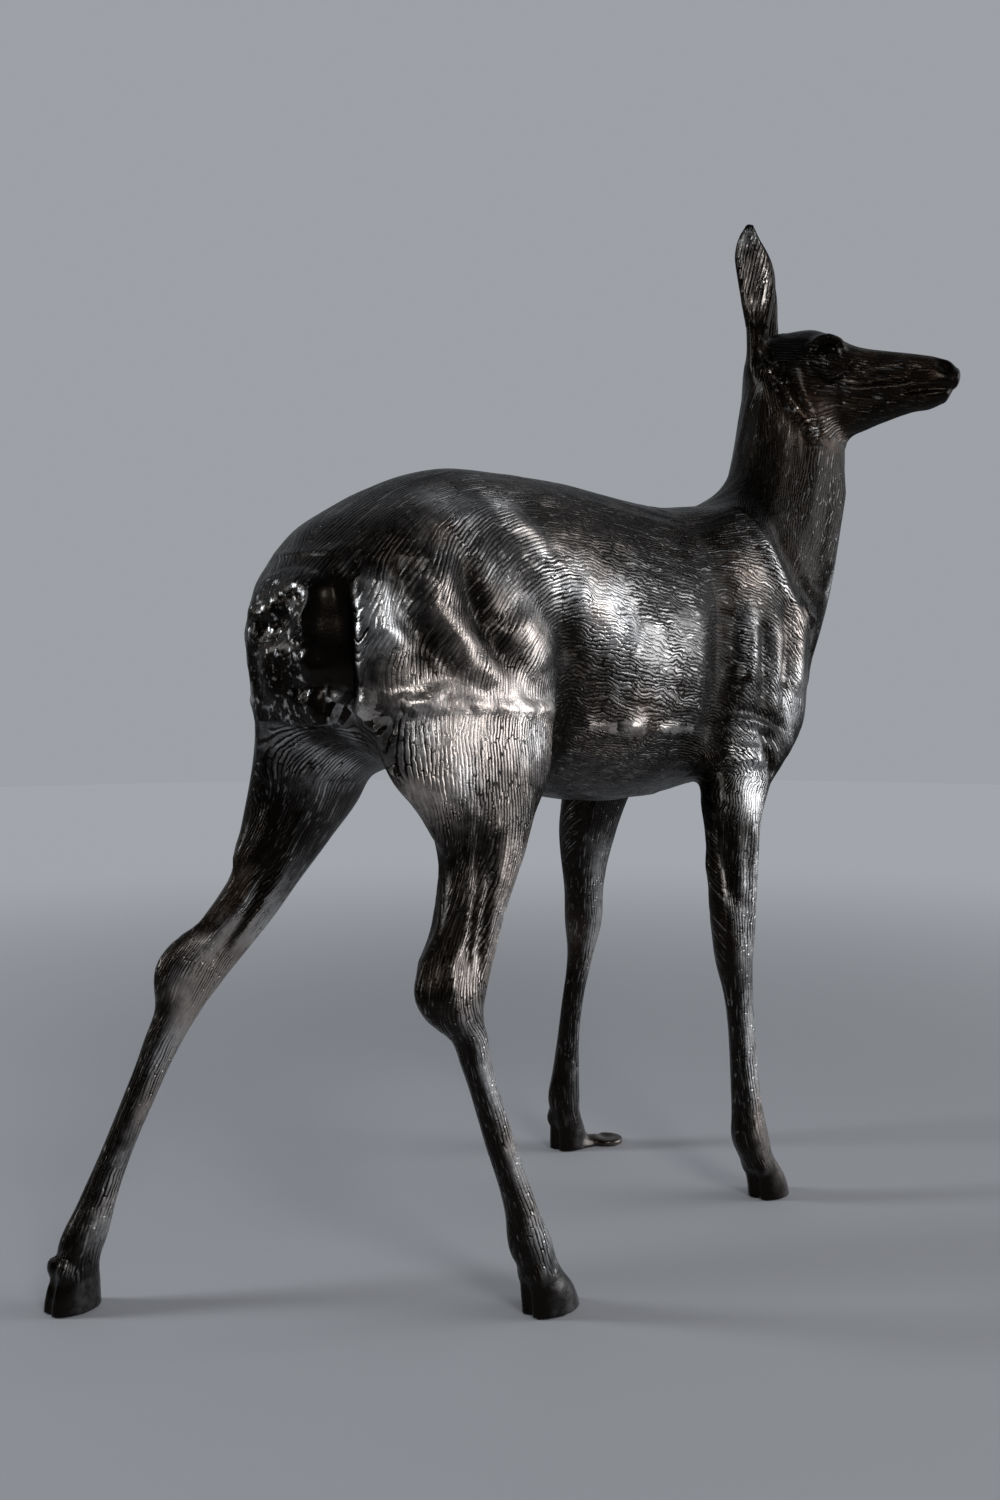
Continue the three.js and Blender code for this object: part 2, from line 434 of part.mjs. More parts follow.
// Quads over the zero level of a field, one point in every cell it passes through.
function skin(field, low, high, cell) {
  const block = 4;
  const n = low.map((v, i) => Math.ceil((high[i] - v) / cell / block) * block + 1);
  const values = new Float32Array(n[0] * n[1] * n[2]).fill(NaN);
  const at = (i, j, k) => (i * n[1] + j) * n[2] + k;
  const place = (i, j, k) => [low[0] + i * cell, low[1] + j * cell, low[2] + k * cell];
  const reach = ((Math.sqrt(3) * block * cell) / 2) * 1.7;
  const inside = [];
  const eachNode = (i, j, k, visit) => {
    for (let a = i; a <= i + block; a++) {
      for (let b = j; b <= j + block; b++) {
        for (let c = k; c <= k + block; c++) visit(at(a, b, c), a, b, c);
      }
    }
  };
  for (let i = 0; i < n[0] - 1; i += block) {
    for (let j = 0; j < n[1] - 1; j += block) {
      for (let k = 0; k < n[2] - 1; k += block) {
        const middle = field(...place(i + block / 2, j + block / 2, k + block / 2));
        if (middle < -reach) inside.push([i, j, k]);
        if (Math.abs(middle) > reach) continue;
        eachNode(i, j, k, (id, a, b, c) => {
          if (Number.isNaN(values[id])) values[id] = field(...place(a, b, c));
        });
      }
    }
  }
  for (const [i, j, k] of inside) {
    eachNode(i, j, k, (id) => {
      if (Number.isNaN(values[id])) values[id] = -9;
    });
  }
  const solid = (id) => values[id] < 0;
  const strides = [n[1] * n[2], n[2], 1];

  const corners = [];
  for (let c = 0; c < 8; c++) corners.push([c >> 2, (c >> 1) & 1, c & 1]);
  const offsets = corners.map((corner) => dot(corner, strides));

  // Where sheets would touch in a point or along an edge, the lattice node nearest
  // the skin changes side by a little.
  const OVER = 0.05;
  const swap = (ids) => {
    const nearest = ids.reduce((a, b) => (Math.abs(values[b]) < Math.abs(values[a]) ? b : a));
    values[nearest] = solid(nearest) ? OVER : -OVER;
  };
  for (let round = 0, swaps = 1; swaps && round < 9; round++) {
    swaps = 0;
    for (let base = 0; base + offsets[7] < values.length; base++) {
      if (Number.isNaN(values[base])) continue;
      for (let m = 0; m < 3; m++) {
        const p = base + strides[(m + 1) % 3];
        const q = base + strides[(m + 2) % 3];
        const over = p + q - base;
        if (solid(base) !== solid(over) || solid(p) !== solid(q) || solid(base) === solid(p)) continue;
        swap([base, over, p, q]);
        swaps++;
      }
      const ids = offsets.map((o) => base + o);
      const filled = ids.filter(solid).length;
      if (filled !== 2 && filled !== 6) continue;
      for (let c = 0; c < 4; c++) {
        const pair = [ids[c], ids[7 - c]];
        if (!pair.every((id) => solid(id) === (filled === 2))) continue;
        swap(pair);
        swaps++;
      }
    }
  }

  const edges = [];
  for (let a = 0; a < 8; a++) {
    for (const bit of [1, 2, 4]) {
      if (!(a & bit)) edges.push([a, a | bit]);
    }
  }
  const points = [];
  const owner = new Map();
  for (let i = 0; i < n[0] - 1; i++) {
    for (let j = 0; j < n[1] - 1; j++) {
      for (let k = 0; k < n[2] - 1; k++) {
        const base = at(i, j, k);
        const ids = corners.map(([a, b, c]) => base + a * strides[0] + b * strides[1] + c);
        const first = solid(ids[0]);
        if (ids.every((id) => solid(id) === first)) continue;
        const sum = [0, 0, 0];
        let hits = 0;
        for (const [a, b] of edges) {
          const va = values[ids[a]];
          const vb = values[ids[b]];
          if ((va < 0) === (vb < 0)) continue;
          const t = va / (va - vb);
          for (let m = 0; m < 3; m++) sum[m] += corners[a][m] + (corners[b][m] - corners[a][m]) * t;
          hits++;
        }
        owner.set(base, points.length);
        points.push(place(i + sum[0] / hits, j + sum[1] / hits, k + sum[2] / hits));
      }
    }
  }
  const faces = [];
  for (const base of owner.keys()) {
    for (let m = 0; m < 3; m++) {
      const here = solid(base);
      if (here === solid(base + strides[m])) continue;
      const p = strides[(m + 1) % 3];
      const q = strides[(m + 2) % 3];
      const ring = [base - p - q, base - q, base, base - p].map((id) => owner.get(id));
      const [a, b, c, d] = here ? ring : ring.reverse();
      faces.push([a, b, c], [a, c, d]);
    }
  }
  return { points, faces };
}

// Edge collapse by summed squared distances to the planes of the faces merged so far.
function thin({ points, faces }, target) {
  const sums = points.map(() => new Float64Array(10));
  const around = points.map(() => new Set());
  const alive = faces.map(() => true);
  const sub = (a, b) => [a[0] - b[0], a[1] - b[1], a[2] - b[2]];
  const cross = (a, b) => [a[1] * b[2] - a[2] * b[1], a[2] * b[0] - a[0] * b[2], a[0] * b[1] - a[1] * b[0]];
  const normal = (a, b, c) => cross(sub(b, a), sub(c, a));
  faces.forEach((face, f) => {
    const [a, b, c] = face.map((v) => points[v]);
    const n = normal(a, b, c);
    const area = Math.hypot(...n) + 1e-12;
    const [x, y, z] = n.map((v) => v / area);
    const w = -(x * a[0] + y * a[1] + z * a[2]);
    const terms = [x * x, x * y, x * z, x * w, y * y, y * z, y * w, z * z, z * w, w * w];
    for (const v of face) {
      terms.forEach((t, i) => {
        sums[v][i] += t * area;
      });
      around[v].add(f);
    }
  });
  const error = (q, [x, y, z]) => q[0] * x * x + 2 * q[1] * x * y + 2 * q[2] * x * z + 2 * q[3] * x
    + q[4] * y * y + 2 * q[5] * y * z + 2 * q[6] * y + q[7] * z * z + 2 * q[8] * z + q[9];

  const stamp = new Int32Array(points.length);
  const heap = [];
  const push = (item) => {
    let i = heap.length;
    heap.push(item);
    while (i > 0) {
      const parent = (i - 1) >> 1;
      if (heap[parent].cost <= item.cost) break;
      heap[i] = heap[parent];
      i = parent;
    }
    heap[i] = item;
  };
  const pop = () => {
    const top = heap[0];
    const item = heap.pop();
    if (heap.length) {
      let i = 0;
      for (;;) {
        let child = 2 * i + 1;
        if (child >= heap.length) break;
        if (child + 1 < heap.length && heap[child + 1].cost < heap[child].cost) child++;
        if (heap[child].cost >= item.cost) break;
        heap[i] = heap[child];
        i = child;
      }
      heap[i] = item;
    }
    return top;
  };
  const offer = (a, b) => {
    const q = sums[a].map((v, i) => v + sums[b][i]);
    const mid = [0, 1, 2].map((i) => (points[a][i] + points[b][i]) / 2);
    // A light pull to the middle keeps the system solvable on flat ground.
    const pull = 1e-3 * (q[0] + q[4] + q[7]) + 1e-9;
    const rows = [[q[0] + pull, q[1], q[2]], [q[1], q[4] + pull, q[5]], [q[2], q[5], q[7] + pull]];
    const rest = [pull * mid[0] - q[3], pull * mid[1] - q[6], pull * mid[2] - q[8]];
    const det = dot(rows[0], cross(rows[1], rows[2]));
    const spot = [
      dot(rest, cross(rows[1], rows[2])) / det,
      dot(rest, cross(rows[2], rows[0])) / det,
      dot(rest, cross(rows[0], rows[1])) / det,
    ];
    const length = Math.hypot(...sub(points[a], points[b]));
    push({ cost: error(q, spot) + 2e-4 * length ** 3, a, b, spot, mark: stamp[a] + stamp[b] });
  };
  const neighbours = (v) => {
    const out = new Set();
    for (const f of around[v]) faces[f].forEach((u) => out.add(u));
    out.delete(v);
    return out;
  };
  const holds = (v, other, spot) => {
    for (const f of around[v]) {
      if (faces[f].includes(other)) continue;
      const before = faces[f].map((u) => points[u]);
      const after = faces[f].map((u) => (u === v ? spot : points[u]));
      const n0 = normal(...before);
      const n1 = normal(...after);
      const size = Math.hypot(...n1);
      if (dot(n0, n1) < 0.35 * Math.hypot(...n0) * size) return false;
      const longest = Math.max(
        Math.hypot(...sub(after[0], after[1])),
        Math.hypot(...sub(after[1], after[2])),
        Math.hypot(...sub(after[2], after[0])),
      );
      if (size < 0.06 * longest ** 2) return false;
    }
    return true;
  };
  points.forEach((_, a) => {
    for (const b of neighbours(a)) if (a < b) offer(a, b);
  });
  let count = faces.length;
  while (count > target && heap.length) {
    const { a, b, spot, mark } = pop();
    if (!around[a] || !around[b] || mark !== stamp[a] + stamp[b]) continue;
    const near = neighbours(a);
    if (!near.has(b)) continue;
    const shared = [...neighbours(b)].filter((v) => near.has(v));
    if (shared.length !== 2 || !holds(a, b, spot) || !holds(b, a, spot)) continue;
    for (const f of around[b]) {
      if (faces[f].includes(a)) {
        alive[f] = false;
        count--;
        faces[f].forEach((v) => v !== b && around[v].delete(f));
      } else {
        faces[f] = faces[f].map((v) => (v === b ? a : v));
        around[a].add(f);
      }
    }
    around[b] = null;
    points[a] = spot;
    sums[b].forEach((v, i) => {
      sums[a][i] += v;
    });
    stamp[a]++;
    for (const v of neighbours(a)) offer(a, v);
  }
  return { points, faces: faces.filter((_, f) => alive[f]) };
}

const wasm = await Module();
wasm.setup();

// A closed body for cutting, from a geometry or from loose points and faces.
function solid(vertProperties, triVerts) {
  return new wasm.Manifold(new wasm.Mesh({
    numProp: 3,
    vertProperties: new Float32Array(vertProperties),
    triVerts: new Uint32Array(triVerts),
  }));
}

const { points, faces } = thin(skin(doe(), SAMPLED_FROM, SAMPLED_TO, CELL / UNIT), TRIANGLES);
const cast = solid(
  points.flatMap(([x, y, z]) => [(x - CENTRE[0]) * UNIT, (y - CENTRE[1]) * UNIT, z * UNIT]),
  faces.flat(),
);
// The hooves and the lug run on below the floor and are cut off flat on it.
const below = new THREE.BoxGeometry(2 * HEIGHT, HEIGHT, HEIGHT / 10).translate(0, 0, -HEIGHT / 20);
below.deleteAttribute("normal");
below.deleteAttribute("uv");
const slab = mergeVertices(below);
const cut = cast.subtract(solid(slab.attributes.position.array, slab.index.array)).getMesh();

const geometry = new THREE.BufferGeometry();
geometry.setAttribute("position", new THREE.BufferAttribute(new Float32Array(cut.vertProperties), 3));
geometry.setIndex(new THREE.BufferAttribute(new Uint32Array(cut.triVerts), 1));
geometry.computeVertexNormals();

const metal = new THREE.MeshStandardMaterial({ color: 0x2c2723, metalness: 0.9, roughness: 0.35 });
const body = new THREE.Mesh(geometry, metal);
body.name = "doe";
const part = new THREE.Group();
part.name = "doe_statue";
part.add(body);

export default part;
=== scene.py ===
"""Life-size standing doe cast in aluminium: carved hair, welded joints and a dark, worn patina, with painted
highlights and glints in its bare metal.
"""

import math

import bpy
import numpy as np
from mathutils import Matrix, Vector


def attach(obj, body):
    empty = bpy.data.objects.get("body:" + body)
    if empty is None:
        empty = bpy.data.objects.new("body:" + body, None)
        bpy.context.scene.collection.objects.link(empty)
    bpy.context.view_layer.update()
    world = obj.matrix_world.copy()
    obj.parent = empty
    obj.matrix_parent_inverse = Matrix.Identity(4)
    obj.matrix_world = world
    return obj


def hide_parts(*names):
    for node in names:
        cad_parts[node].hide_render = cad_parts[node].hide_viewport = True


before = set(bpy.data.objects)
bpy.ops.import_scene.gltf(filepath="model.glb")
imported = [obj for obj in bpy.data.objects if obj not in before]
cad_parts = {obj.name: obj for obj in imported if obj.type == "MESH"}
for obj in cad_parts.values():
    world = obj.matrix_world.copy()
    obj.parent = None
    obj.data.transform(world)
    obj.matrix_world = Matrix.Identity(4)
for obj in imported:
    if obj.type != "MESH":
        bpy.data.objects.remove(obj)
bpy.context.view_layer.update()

bl_info = {
    "name": "Cast doe",
    "version": (1, 0, 0),
    "blender": (4, 5, 0),
    "location": "View3D > Sidebar > Doe",
    "description": "Builds a life-size standing doe in cast aluminium, and a plain studio round it",
    "category": "Object",
}

# The tables below are in units of which the ear tip stands 98.7 up, measured from the
# floor midway between the fore hooves: x ahead, y to the doe's left, z up.
EAR_TIP = 98.7
CENTRE = (-19.3, -2.33)
ROOM = ((-68, -21, -1), (30, 18, 102))  # corners of a box that holds the statue
FEET_BELOW = 8  # toes, claws and lug lie below this
HEAD_ABOVE = 72  # head and ears lie above this
FACE_ABOVE = 76  # and the hair of the face above this
RUMP_BEHIND = -44

# Trunk slices: x, top, bottom, half width.
TRUNK = [
    (-48.6, 60.5, 50.0, 5.0), (-46, 64.0, 47.6, 6.8), (-42, 66.7, 46.5, 7.7),
    (-34, 69.7, 44.5, 8.4), (-26, 70.1, 42.0, 8.8), (-18, 69.9, 40.1, 9.4),
    (-10, 69.1, 39.5, 9.8), (-3, 68.7, 39.9, 9.5), (4, 69.2, 41.2, 8.6),
    (10, 68.5, 44.2, 7.2), (14, 65, 48, 5.4),
]

# Level slices of the upright limbs: z, x, y, half length, half width.
NECK = [
    (50, 8.8, -1.6, 7.6, 6.0), (56, 10.3, -2.3, 8.5, 6.6), (62, 12.6, -3.0, 8.8, 6.5),
    (68, 14.2, -3.6, 7.8, 6.1), (74, 15.6, -3.9, 6.6, 5.8), (79, 16.4, -3.9, 6.1, 5.5),
    (83.5, 16.3, -3.8, 5.2, 4.8),
]
RIGHT_HIND = [
    (-2, -34.6, -15.6, 2.9, 2.1), (2, -35.4, -15.4, 2.5, 1.7), (3.7, -36.1, -15.2, 1.9, 1.35),
    (5.6, -36.9, -15.1, 2.05, 1.5), (8.6, -37.7, -14.9, 1.5, 1.3), (14.9, -39.9, -14.4, 1.3, 1.15),
    (21, -41.8, -13.8, 1.27, 1.15), (23.6, -42.5, -13.5, 1.7, 1.4), (25.2, -43.6, -13.3, 2.66, 1.6),
    (27, -44, -13.2, 3.5, 1.75), (29.6, -42.9, -12.8, 3.85, 1.75), (32.2, -41.3, -12.3, 3.6, 1.95),
    (34.9, -39.8, -11.8, 3.73, 2.3), (37.6, -38.6, -11.2, 4.5, 2.7), (40.5, -38.1, -10.6, 5.8, 3.1),
    (43.4, -37.9, -9.7, 8.2, 3.6), (47.5, -37.6, -8.4, 9.6, 4.2), (54, -37.2, -5.9, 10, 4.6),
]
LEFT_HIND = [
    (-2, -62.3, 12.8, 2.6, 1.8), (2, -62.1, 12.8, 2.3, 1.6), (3.8, -61.7, 12.8, 1.9, 1.35),
    (5.6, -61.2, 12.7, 2.05, 1.5), (8.5, -59.9, 12.6, 1.65, 1.3), (14.7, -57, 12.2, 1.5, 1.12),
    (21, -54, 11.6, 1.85, 1.2), (24.3, -52.2, 11.2, 2.6, 1.5), (25.9, -51.6, 11, 3.5, 1.7),
    (27.8, -50.4, 10.8, 4.4, 1.75), (30.7, -47.8, 10.2, 4.35, 1.95), (34, -45.1, 9.6, 4.2, 2.3),
    (37.4, -42.8, 9.1, 4.8, 2.8), (40.8, -40.9, 8.7, 5.9, 3.2), (44.4, -40.2, 8, 6.3, 3.5),
    (48, -39.4, 7.2, 7.2, 3.9), (54, -37.6, 5.6, 9, 4.3),
]
RIGHT_FORE = [
    (-2, 0.9, -12.6, 2.6, 1.95), (2.4, -0.2, -12.5, 2.1, 1.7), (4.1, -1.4, -12.4, 1.85, 1.5),
    (6.1, -2.3, -12.3, 2.05, 1.6), (9.1, -2.6, -12.1, 1.65, 1.45), (15, -2.7, -11.6, 1.45, 1.25),
    (20.8, -2.7, -11, 1.65, 1.35), (23.8, -3.1, -10.8, 2.1, 1.62), (26.7, -2.9, -10.5, 2.57, 1.75),
    (32.6, -2.4, -9.9, 3.37, 2.1), (38.4, -1.2, -9.1, 4.1, 2.45), (41, 0.1, -8.6, 4.9, 2.7),
    (42.6, 1.4, -8.1, 6.2, 2.9), (44.5, 2.8, -7.4, 8, 3.2), (47, 4, -6.6, 9.4, 3.5),
    (50, 4.4, -5.6, 10, 3.8),
]
LEFT_FORE = [
    (-2, -1.6, 12, 2.5, 1.9), (2.2, -2.1, 12, 2.1, 1.65), (4, -2.6, 11.9, 1.75, 1.45),
    (5.8, -2.9, 11.8, 1.9, 1.55), (8.7, -2.8, 11.6, 1.55, 1.35), (15.4, -2.4, 11.1, 1.25, 1.1),
    (21.9, -1.6, 10.5, 1.6, 1.35), (25.2, -1.5, 10.2, 2.24, 1.8), (28.5, -1.8, 9.9, 2.4, 1.85),
    (31.8, -2.1, 9.5, 3, 2.1), (38.3, -1.6, 8.5, 4.6, 2.6), (41, -0.8, 8, 5.3, 2.7),
    (42.6, 0.2, 7.6, 6.2, 2.9), (44.5, 1.4, 7, 7.6, 3.2), (47, 2.8, 6.4, 9.2, 3.5),
    (50, 3.4, 5.6, 10, 3.8),
]
TAIL = [
    (48.3, -48.8, 0.1, 0.9, 4.3), (50, -48.7, 0, 1.4, 4.5), (54, -48.6, 0, 1.7, 4.6),
    (57.5, -48.2, 0, 1.7, 4.4), (59.5, -47.6, 0, 1.5, 3.8), (61.5, -46.6, 0, 1.1, 2.8),
]
# Muscle masses of the right side, mirrored to the left: centre, half sizes.
HAUNCH = ((-38, -5, 54.5), (10.4, 4.9, 11))
SHOULDER = ((4.5, -5.4, 56), (8, 4, 12.5))
# Widths of the soft joins where the shapes meet.
SOFT = {
    "trunk": 1, "neck": 5, "haunch": 4, "shoulder": 3, "leg": 2.5, "tail": 1, "head": 1.5, "skull": 1,
    "jaw": 1.5, "brow": 0.8, "ear": 1.2, "ear rim": 0.35, "eye": 0.25, "toe": 0.8, "lug": 0.5, "claw": 0.5,
    "lug rim": 0.2,
}

# The head has its own axes: sideways (its left), up, forward.
HEAD_AT = (15.2, -2.6, 86)
HEAD_TURN = -58  # degrees from straight ahead, to the doe's right
HEAD_PITCH = -8
# Slices along the head: forward, side, up, half width, half depth.
SKULL = [
    (-1.2, 0, -1.3, 2.9, 3.2), (1, 0, -1.2, 3.4, 3.8), (3.8, 0, -0.9, 3.6, 4), (6, 0, -1, 3.35, 3.6),
    (8.2, 0, -1.2, 2.75, 3.1), (12, 0, -1, 2.05, 2.7), (15, 0, -0.9, 1.85, 2.5),
    (17, 0, -0.8, 1.8, 2.25), (18.3, 0, -0.6, 1.55, 1.75), (19, 0, -0.4, 1.1, 1),
]
JAW = [
    (2.2, 0, -4, 2.5, 2.6), (4.5, 0, -4.6, 2.75, 3), (9, 0, -4.9, 2.5, 2.7), (12, 0, -4.2, 1.9, 1.85),
    (15, 0, -3.1, 1.5, 1.4), (17, 0, -2.65, 1.3, 1.15), (18, 0, -2.3, 1, 0.8),
]
# Masses on the left of the head, mirrored to the right: forward, up, side, and their half sizes.
BROW_AT, BROW_HALF = (5.4, 1.1, 2.7), (0.9, 1, 1.5)
EYE_AT, EYE_FORM = (5.9, 0.5, 3.05), (0.75, 0.85, 1)  # the eye's form is in shares of its half length
# Slices up an ear: up, side, back, half thickness, half breadth.
RIGHT_EAR = [
    (-1.5, -2.4, 1.8, 1, 0.95), (0.5, -2.6, 2, 1, 1.05), (2, -2.8, 2.1, 0.95, 1.2),
    (4.6, -3.2, 2.5, 0.95, 1.7), (7, -3.5, 2.9, 0.95, 2), (9.6, -3.9, 3.7, 0.85, 1.8),
    (11.3, -4.1, 4.2, 0.6, 1.05), (12.2, -4.2, 4.3, 0.35, 0.5),
]
LEFT_EAR = [
    (-1.5, 2.4, 1.3, 1, 0.95), (0.5, 2.6, 1.2, 1, 1.05), (2, 2.9, 1.3, 0.95, 1.2),
    (4.6, 3.5, 2.2, 0.95, 1.65), (7, 3.9, 2.9, 0.95, 1.9), (9.6, 4.3, 3.7, 0.85, 1.7),
    (11.2, 4.5, 4.1, 0.6, 0.95), (12, 4.6, 4.2, 0.35, 0.45),
]
# Hollow of an ear, against the ear's own slices: up, outward, half thickness, half breadth.
EAR_HOLLOW = [
    (2.5, 1.05, 0.35, 0.4), (4.6, 0.8, 0.7, 1.03), (7, 0.9, 0.85, 1.38), (9.6, 0.8, 0.8, 1.22),
    (11.3, 0.5, 0.4, 0.5),
]

# Carved lines: half width, rise (a groove if negative), points. On the flanks the points
# are x and z. BOTH are cut on the right and, a little shallower, on the left.
BOTH = [
    (1.5, -0.75, [(-44.2, 61.6), (-44.4, 59), (-44.2, 56.6), (-43.3, 54.4), (-41.8, 52.7)]),
    (1.3, 0.5, [(-46.4, 61), (-46.8, 57.6), (-47, 54)]),
    (1.8, 1.0, [(-40.4, 62), (-41.8, 59.2), (-42.2, 57.2), (-41.2, 55), (-39.8, 53), (-35.6, 51.2)]),
    (1.2, -0.75, [(-38.6, 61.2), (-38.2, 58.4), (-37.3, 55.7), (-36.2, 53.6), (-34.6, 52)]),
    (3.3, 1.0, [(-33.8, 57.8), (-32.2, 54.8), (-30.8, 51.8)]),  # oval muscle over the stifle
    (2.3, -0.65, [(-26.4, 57.2), (-24.9, 54), (-24.7, 50.4), (-25.4, 46.8), (-26.2, 43.6)]),
    (1.4, 0.7, [(-32, 65.9), (-30.1, 65.2), (-28.3, 63.9), (-26.4, 62.6)]),  # point of the hip
    (0.8, 0.4, [(-30.4, 62.9), (-27.4, 62), (-24.2, 60.8)]),
    (2.6, 0.8, [(-26, 60.4), (-23.2, 58.6), (-20.4, 56.4), (-17, 54)]),  # last ribs
    (2.4, -0.95, [(-2.5, 60), (-2.9, 56.6), (-3.4, 52.4), (-3.9, 48), (-4.5, 43)]),  # behind the shoulder
    (1.8, 0.2, [(-6.2, 60), (-6.6, 55.6), (-7.4, 50.8), (-8, 45.6)]),
    (0.8, 0.35, [(-49, 49.3), (-46.2, 49.7), (-43.1, 50), (-39.5, 49.6), (-34.6, 49.2), (-26.8, 48.8)]),
    (1.1, -0.4, [(-0.5, 58.6), (-0.3, 56), (-0.7, 53.2), (-1.8, 51)]),  # shoulder
    (1.4, 0.45, [(1.1, 56.8), (0.6, 53.4), (-0.4, 49.8)]),
    (1.1, -0.5, [(2.8, 57.4), (3.1, 54), (3.1, 51), (2.6, 48.4)]),
    (1.4, 0.45, [(4.9, 56.4), (4.8, 53), (4.2, 49.8)]),
    (1.2, 0.45, [(3.8, 67.8), (4.7, 65.3), (5.8, 62.2), (7.6, 59.4), (9.8, 57), (13, 55.4)]),
    (1.7, -0.6, [(6.6, 67.6), (7.7, 64.2), (8.9, 61.4), (10.6, 59.3), (12.6, 57.6)]),
]
RIGHT = [
    (1.1, 0.4, [(-38.2, 64.7), (-34.2, 65.9)]),
    (2.2, -0.6, [(-21, 52.6), (-20.6, 48.8)]),
    (0.8, 0.3, [(-21.8, 47.3), (-16.8, 47), (-8.1, 46.6)]),  # joint along the belly
    (1.0, 0.5, [(-17.2, 47.1), (-16.4, 47.1)]),
    (1.1, -0.5, [(6.5, 59.4), (6.9, 55.4), (6.5, 52), (5.6, 49.4)]),
    (1.5, 0.65, [(8.5, 56.2), (8.9, 53), (8, 49.6)]),
    (0.6, -0.35, [(-2.3, 48.2), (0.6, 48), (3.6, 47.1), (6.4, 45.9)]),  # folds over the elbow
    (0.5, 0.4, [(-1.8, 47.3), (0.8, 47.1), (4, 46.2)]),
    (0.6, -0.3, [(-2.5, 46.5), (0.6, 46.3), (4.4, 45.1)]),
    (1.4, 0.9, [(-0.2, 45.2), (-0.3, 44), (-0.5, 42.6)]),
    (0.7, -0.5, [(2.2, 45), (2.9, 43.6), (3.3, 41.4)]),
    (0.8, 0.9, [(9.9, 59.8), (10.6, 58.3), (12.6, 57)]),
    (1.7, 0.7, [(18.2, 74), (16.6, 69), (15.2, 64), (14.4, 60.6)]),  # front of the neck
    (0.9, -0.8, [(-42.3, 39), (-42.9, 35.9), (-44.3, 32.6), (-46, 29.9)]),  # hamstring
    (0.7, 0.55, [(-41.6, 38.6), (-42.3, 35.2), (-43.4, 32.2), (-45.3, 29.6), (-45.6, 27.4), (-44.2, 25)]),
    (0.6, -0.65, [(-40.6, 39.4), (-41, 35.9), (-42.3, 32), (-43.3, 28.1)]),
    (0.45, -0.45, [(-39.6, 39), (-40.2, 35), (-41.5, 31), (-42.3, 27.6)]),
    (0.7, -0.5, [(-4.4, 38.4), (-4.6, 34), (-4.4, 29)]),  # back of the foreleg
    (0.8, 0.4, [(-1, 39), (-1.4, 34), (-2, 29), (-2.3, 25)]),
]
LEFT = [
    (0.9, -0.8, [(-47.2, 35.9), (-49.6, 32.9), (-52.4, 29.9)]),
    (0.6, -0.5, [(-45.4, 35.9), (-47.4, 32), (-50, 28.1)]),
    (0.8, 0.5, [(-44, 36.5), (-46.6, 32.4), (-49.4, 28.4)]),
]
# On the rump the points are y and z.
REAR = [
    (1.0, -1.1, [(-5.7, 59), (-6, 54.5), (-5.7, 50.5), (-5.2, 48.2)]),  # either side of the tail
    (0.9, -0.9, [(5.7, 58), (6, 53), (5.5, 48.6)]),
    (0.8, 0.3, [(0.6, 58.6), (-1.6, 59.3), (-3.6, 58.8), (-4.5, 57.4)]),  # upper edge of the tail
    (0.7, 0.3, [(4.6, 57.5), (3, 57.1), (1.5, 57), (0.2, 57.8)]),
    (1.3, -0.55, [(2.8, 55.8), (0.6, 55.6), (-1.6, 56.8)]),
    (0.8, 0.3, [(4.2, 56), (2.2, 55.1), (0, 54), (-1.6, 53.6)]),
    (0.9, 0.35, [(-3, 56.3), (-3.7, 55.4)]),
    (0.8, 0.35, [(-3.3, 53.8), (-4.1, 52.8), (-4.2, 51.8)]),
    (1.2, 0.3, [(1, 53.2), (0.8, 50.6)]),
    (0.7, 0.3, [(-3.1, 50.4), (-3.8, 49.4), (-4.2, 48.2)]),
    (0.7, -0.4, [(-2.3, 50.8), (-4.4, 51.2)]),
    (0.8, -0.35, [(3.4, 53.6), (3, 51), (3.2, 49)]),
]
# On both cheeks the points are forward and up along the head.
FACE = [
    (0.5, 0.42, [(3.7, 0.6), (4.4, 1.7), (5.4, 2.1), (6.6, 1.7), (7.6, 0.6)]),  # brow
    (0.34, -0.4, [(4.1, 0.2), (4.8, 1.3), (6, 1.4), (7, 0.7)]),
    (0.42, -0.42, [(3.4, -1.1), (4.6, -1.9), (6.2, -2.2), (7.6, -1.3), (8.2, -0.2)]),  # under the eye
    (0.6, 0.42, [(5.2, -2.9), (7.4, -3.2), (9.4, -3.1), (11.4, -2.5), (14, -2.1)]),  # cheekbone
    (0.55, 0.38, [(8.6, -1.8), (10.2, -1), (11.6, -0.4), (13.1, 0.1), (14.8, 0.4)]),  # side of the nose
    (0.8, -0.4, [(9, -2.2), (11, -1.6), (14, -0.9), (15.8, -0.6)]),
    (0.5, -0.65, [(16.7, 1), (17.6, 0.6), (18.2, 0)]),  # nostril
    (0.36, -0.5, [(19.2, -1.5), (17, -1.9), (15, -2.3), (13.3, -2.9)]),  # mouth
    (0.9, -0.7, [(-0.2, -1.8), (2, -4.2), (3.6, -6.2), (5.4, -8.2)]),  # behind the jaw
]
# Soles: x, y, how far the dew claws stand behind. A cleft runs down the middle of each.
SOLES = [(-34.9, -15.4, 2.3), (-62.2, 12.8, 1.3), (0.2, -12.6, 2.2), (-2, 12, 1.8)]
CLEFT = (0.42, 0.55, 3.3)  # half width, depth, height
CLAW_HEIGHT, CLAW_APART, CLAW_HALF = 3.6, 0.75, (0.5, 0.5, 0.8)
LUG_AT = (2.2, 10.1)
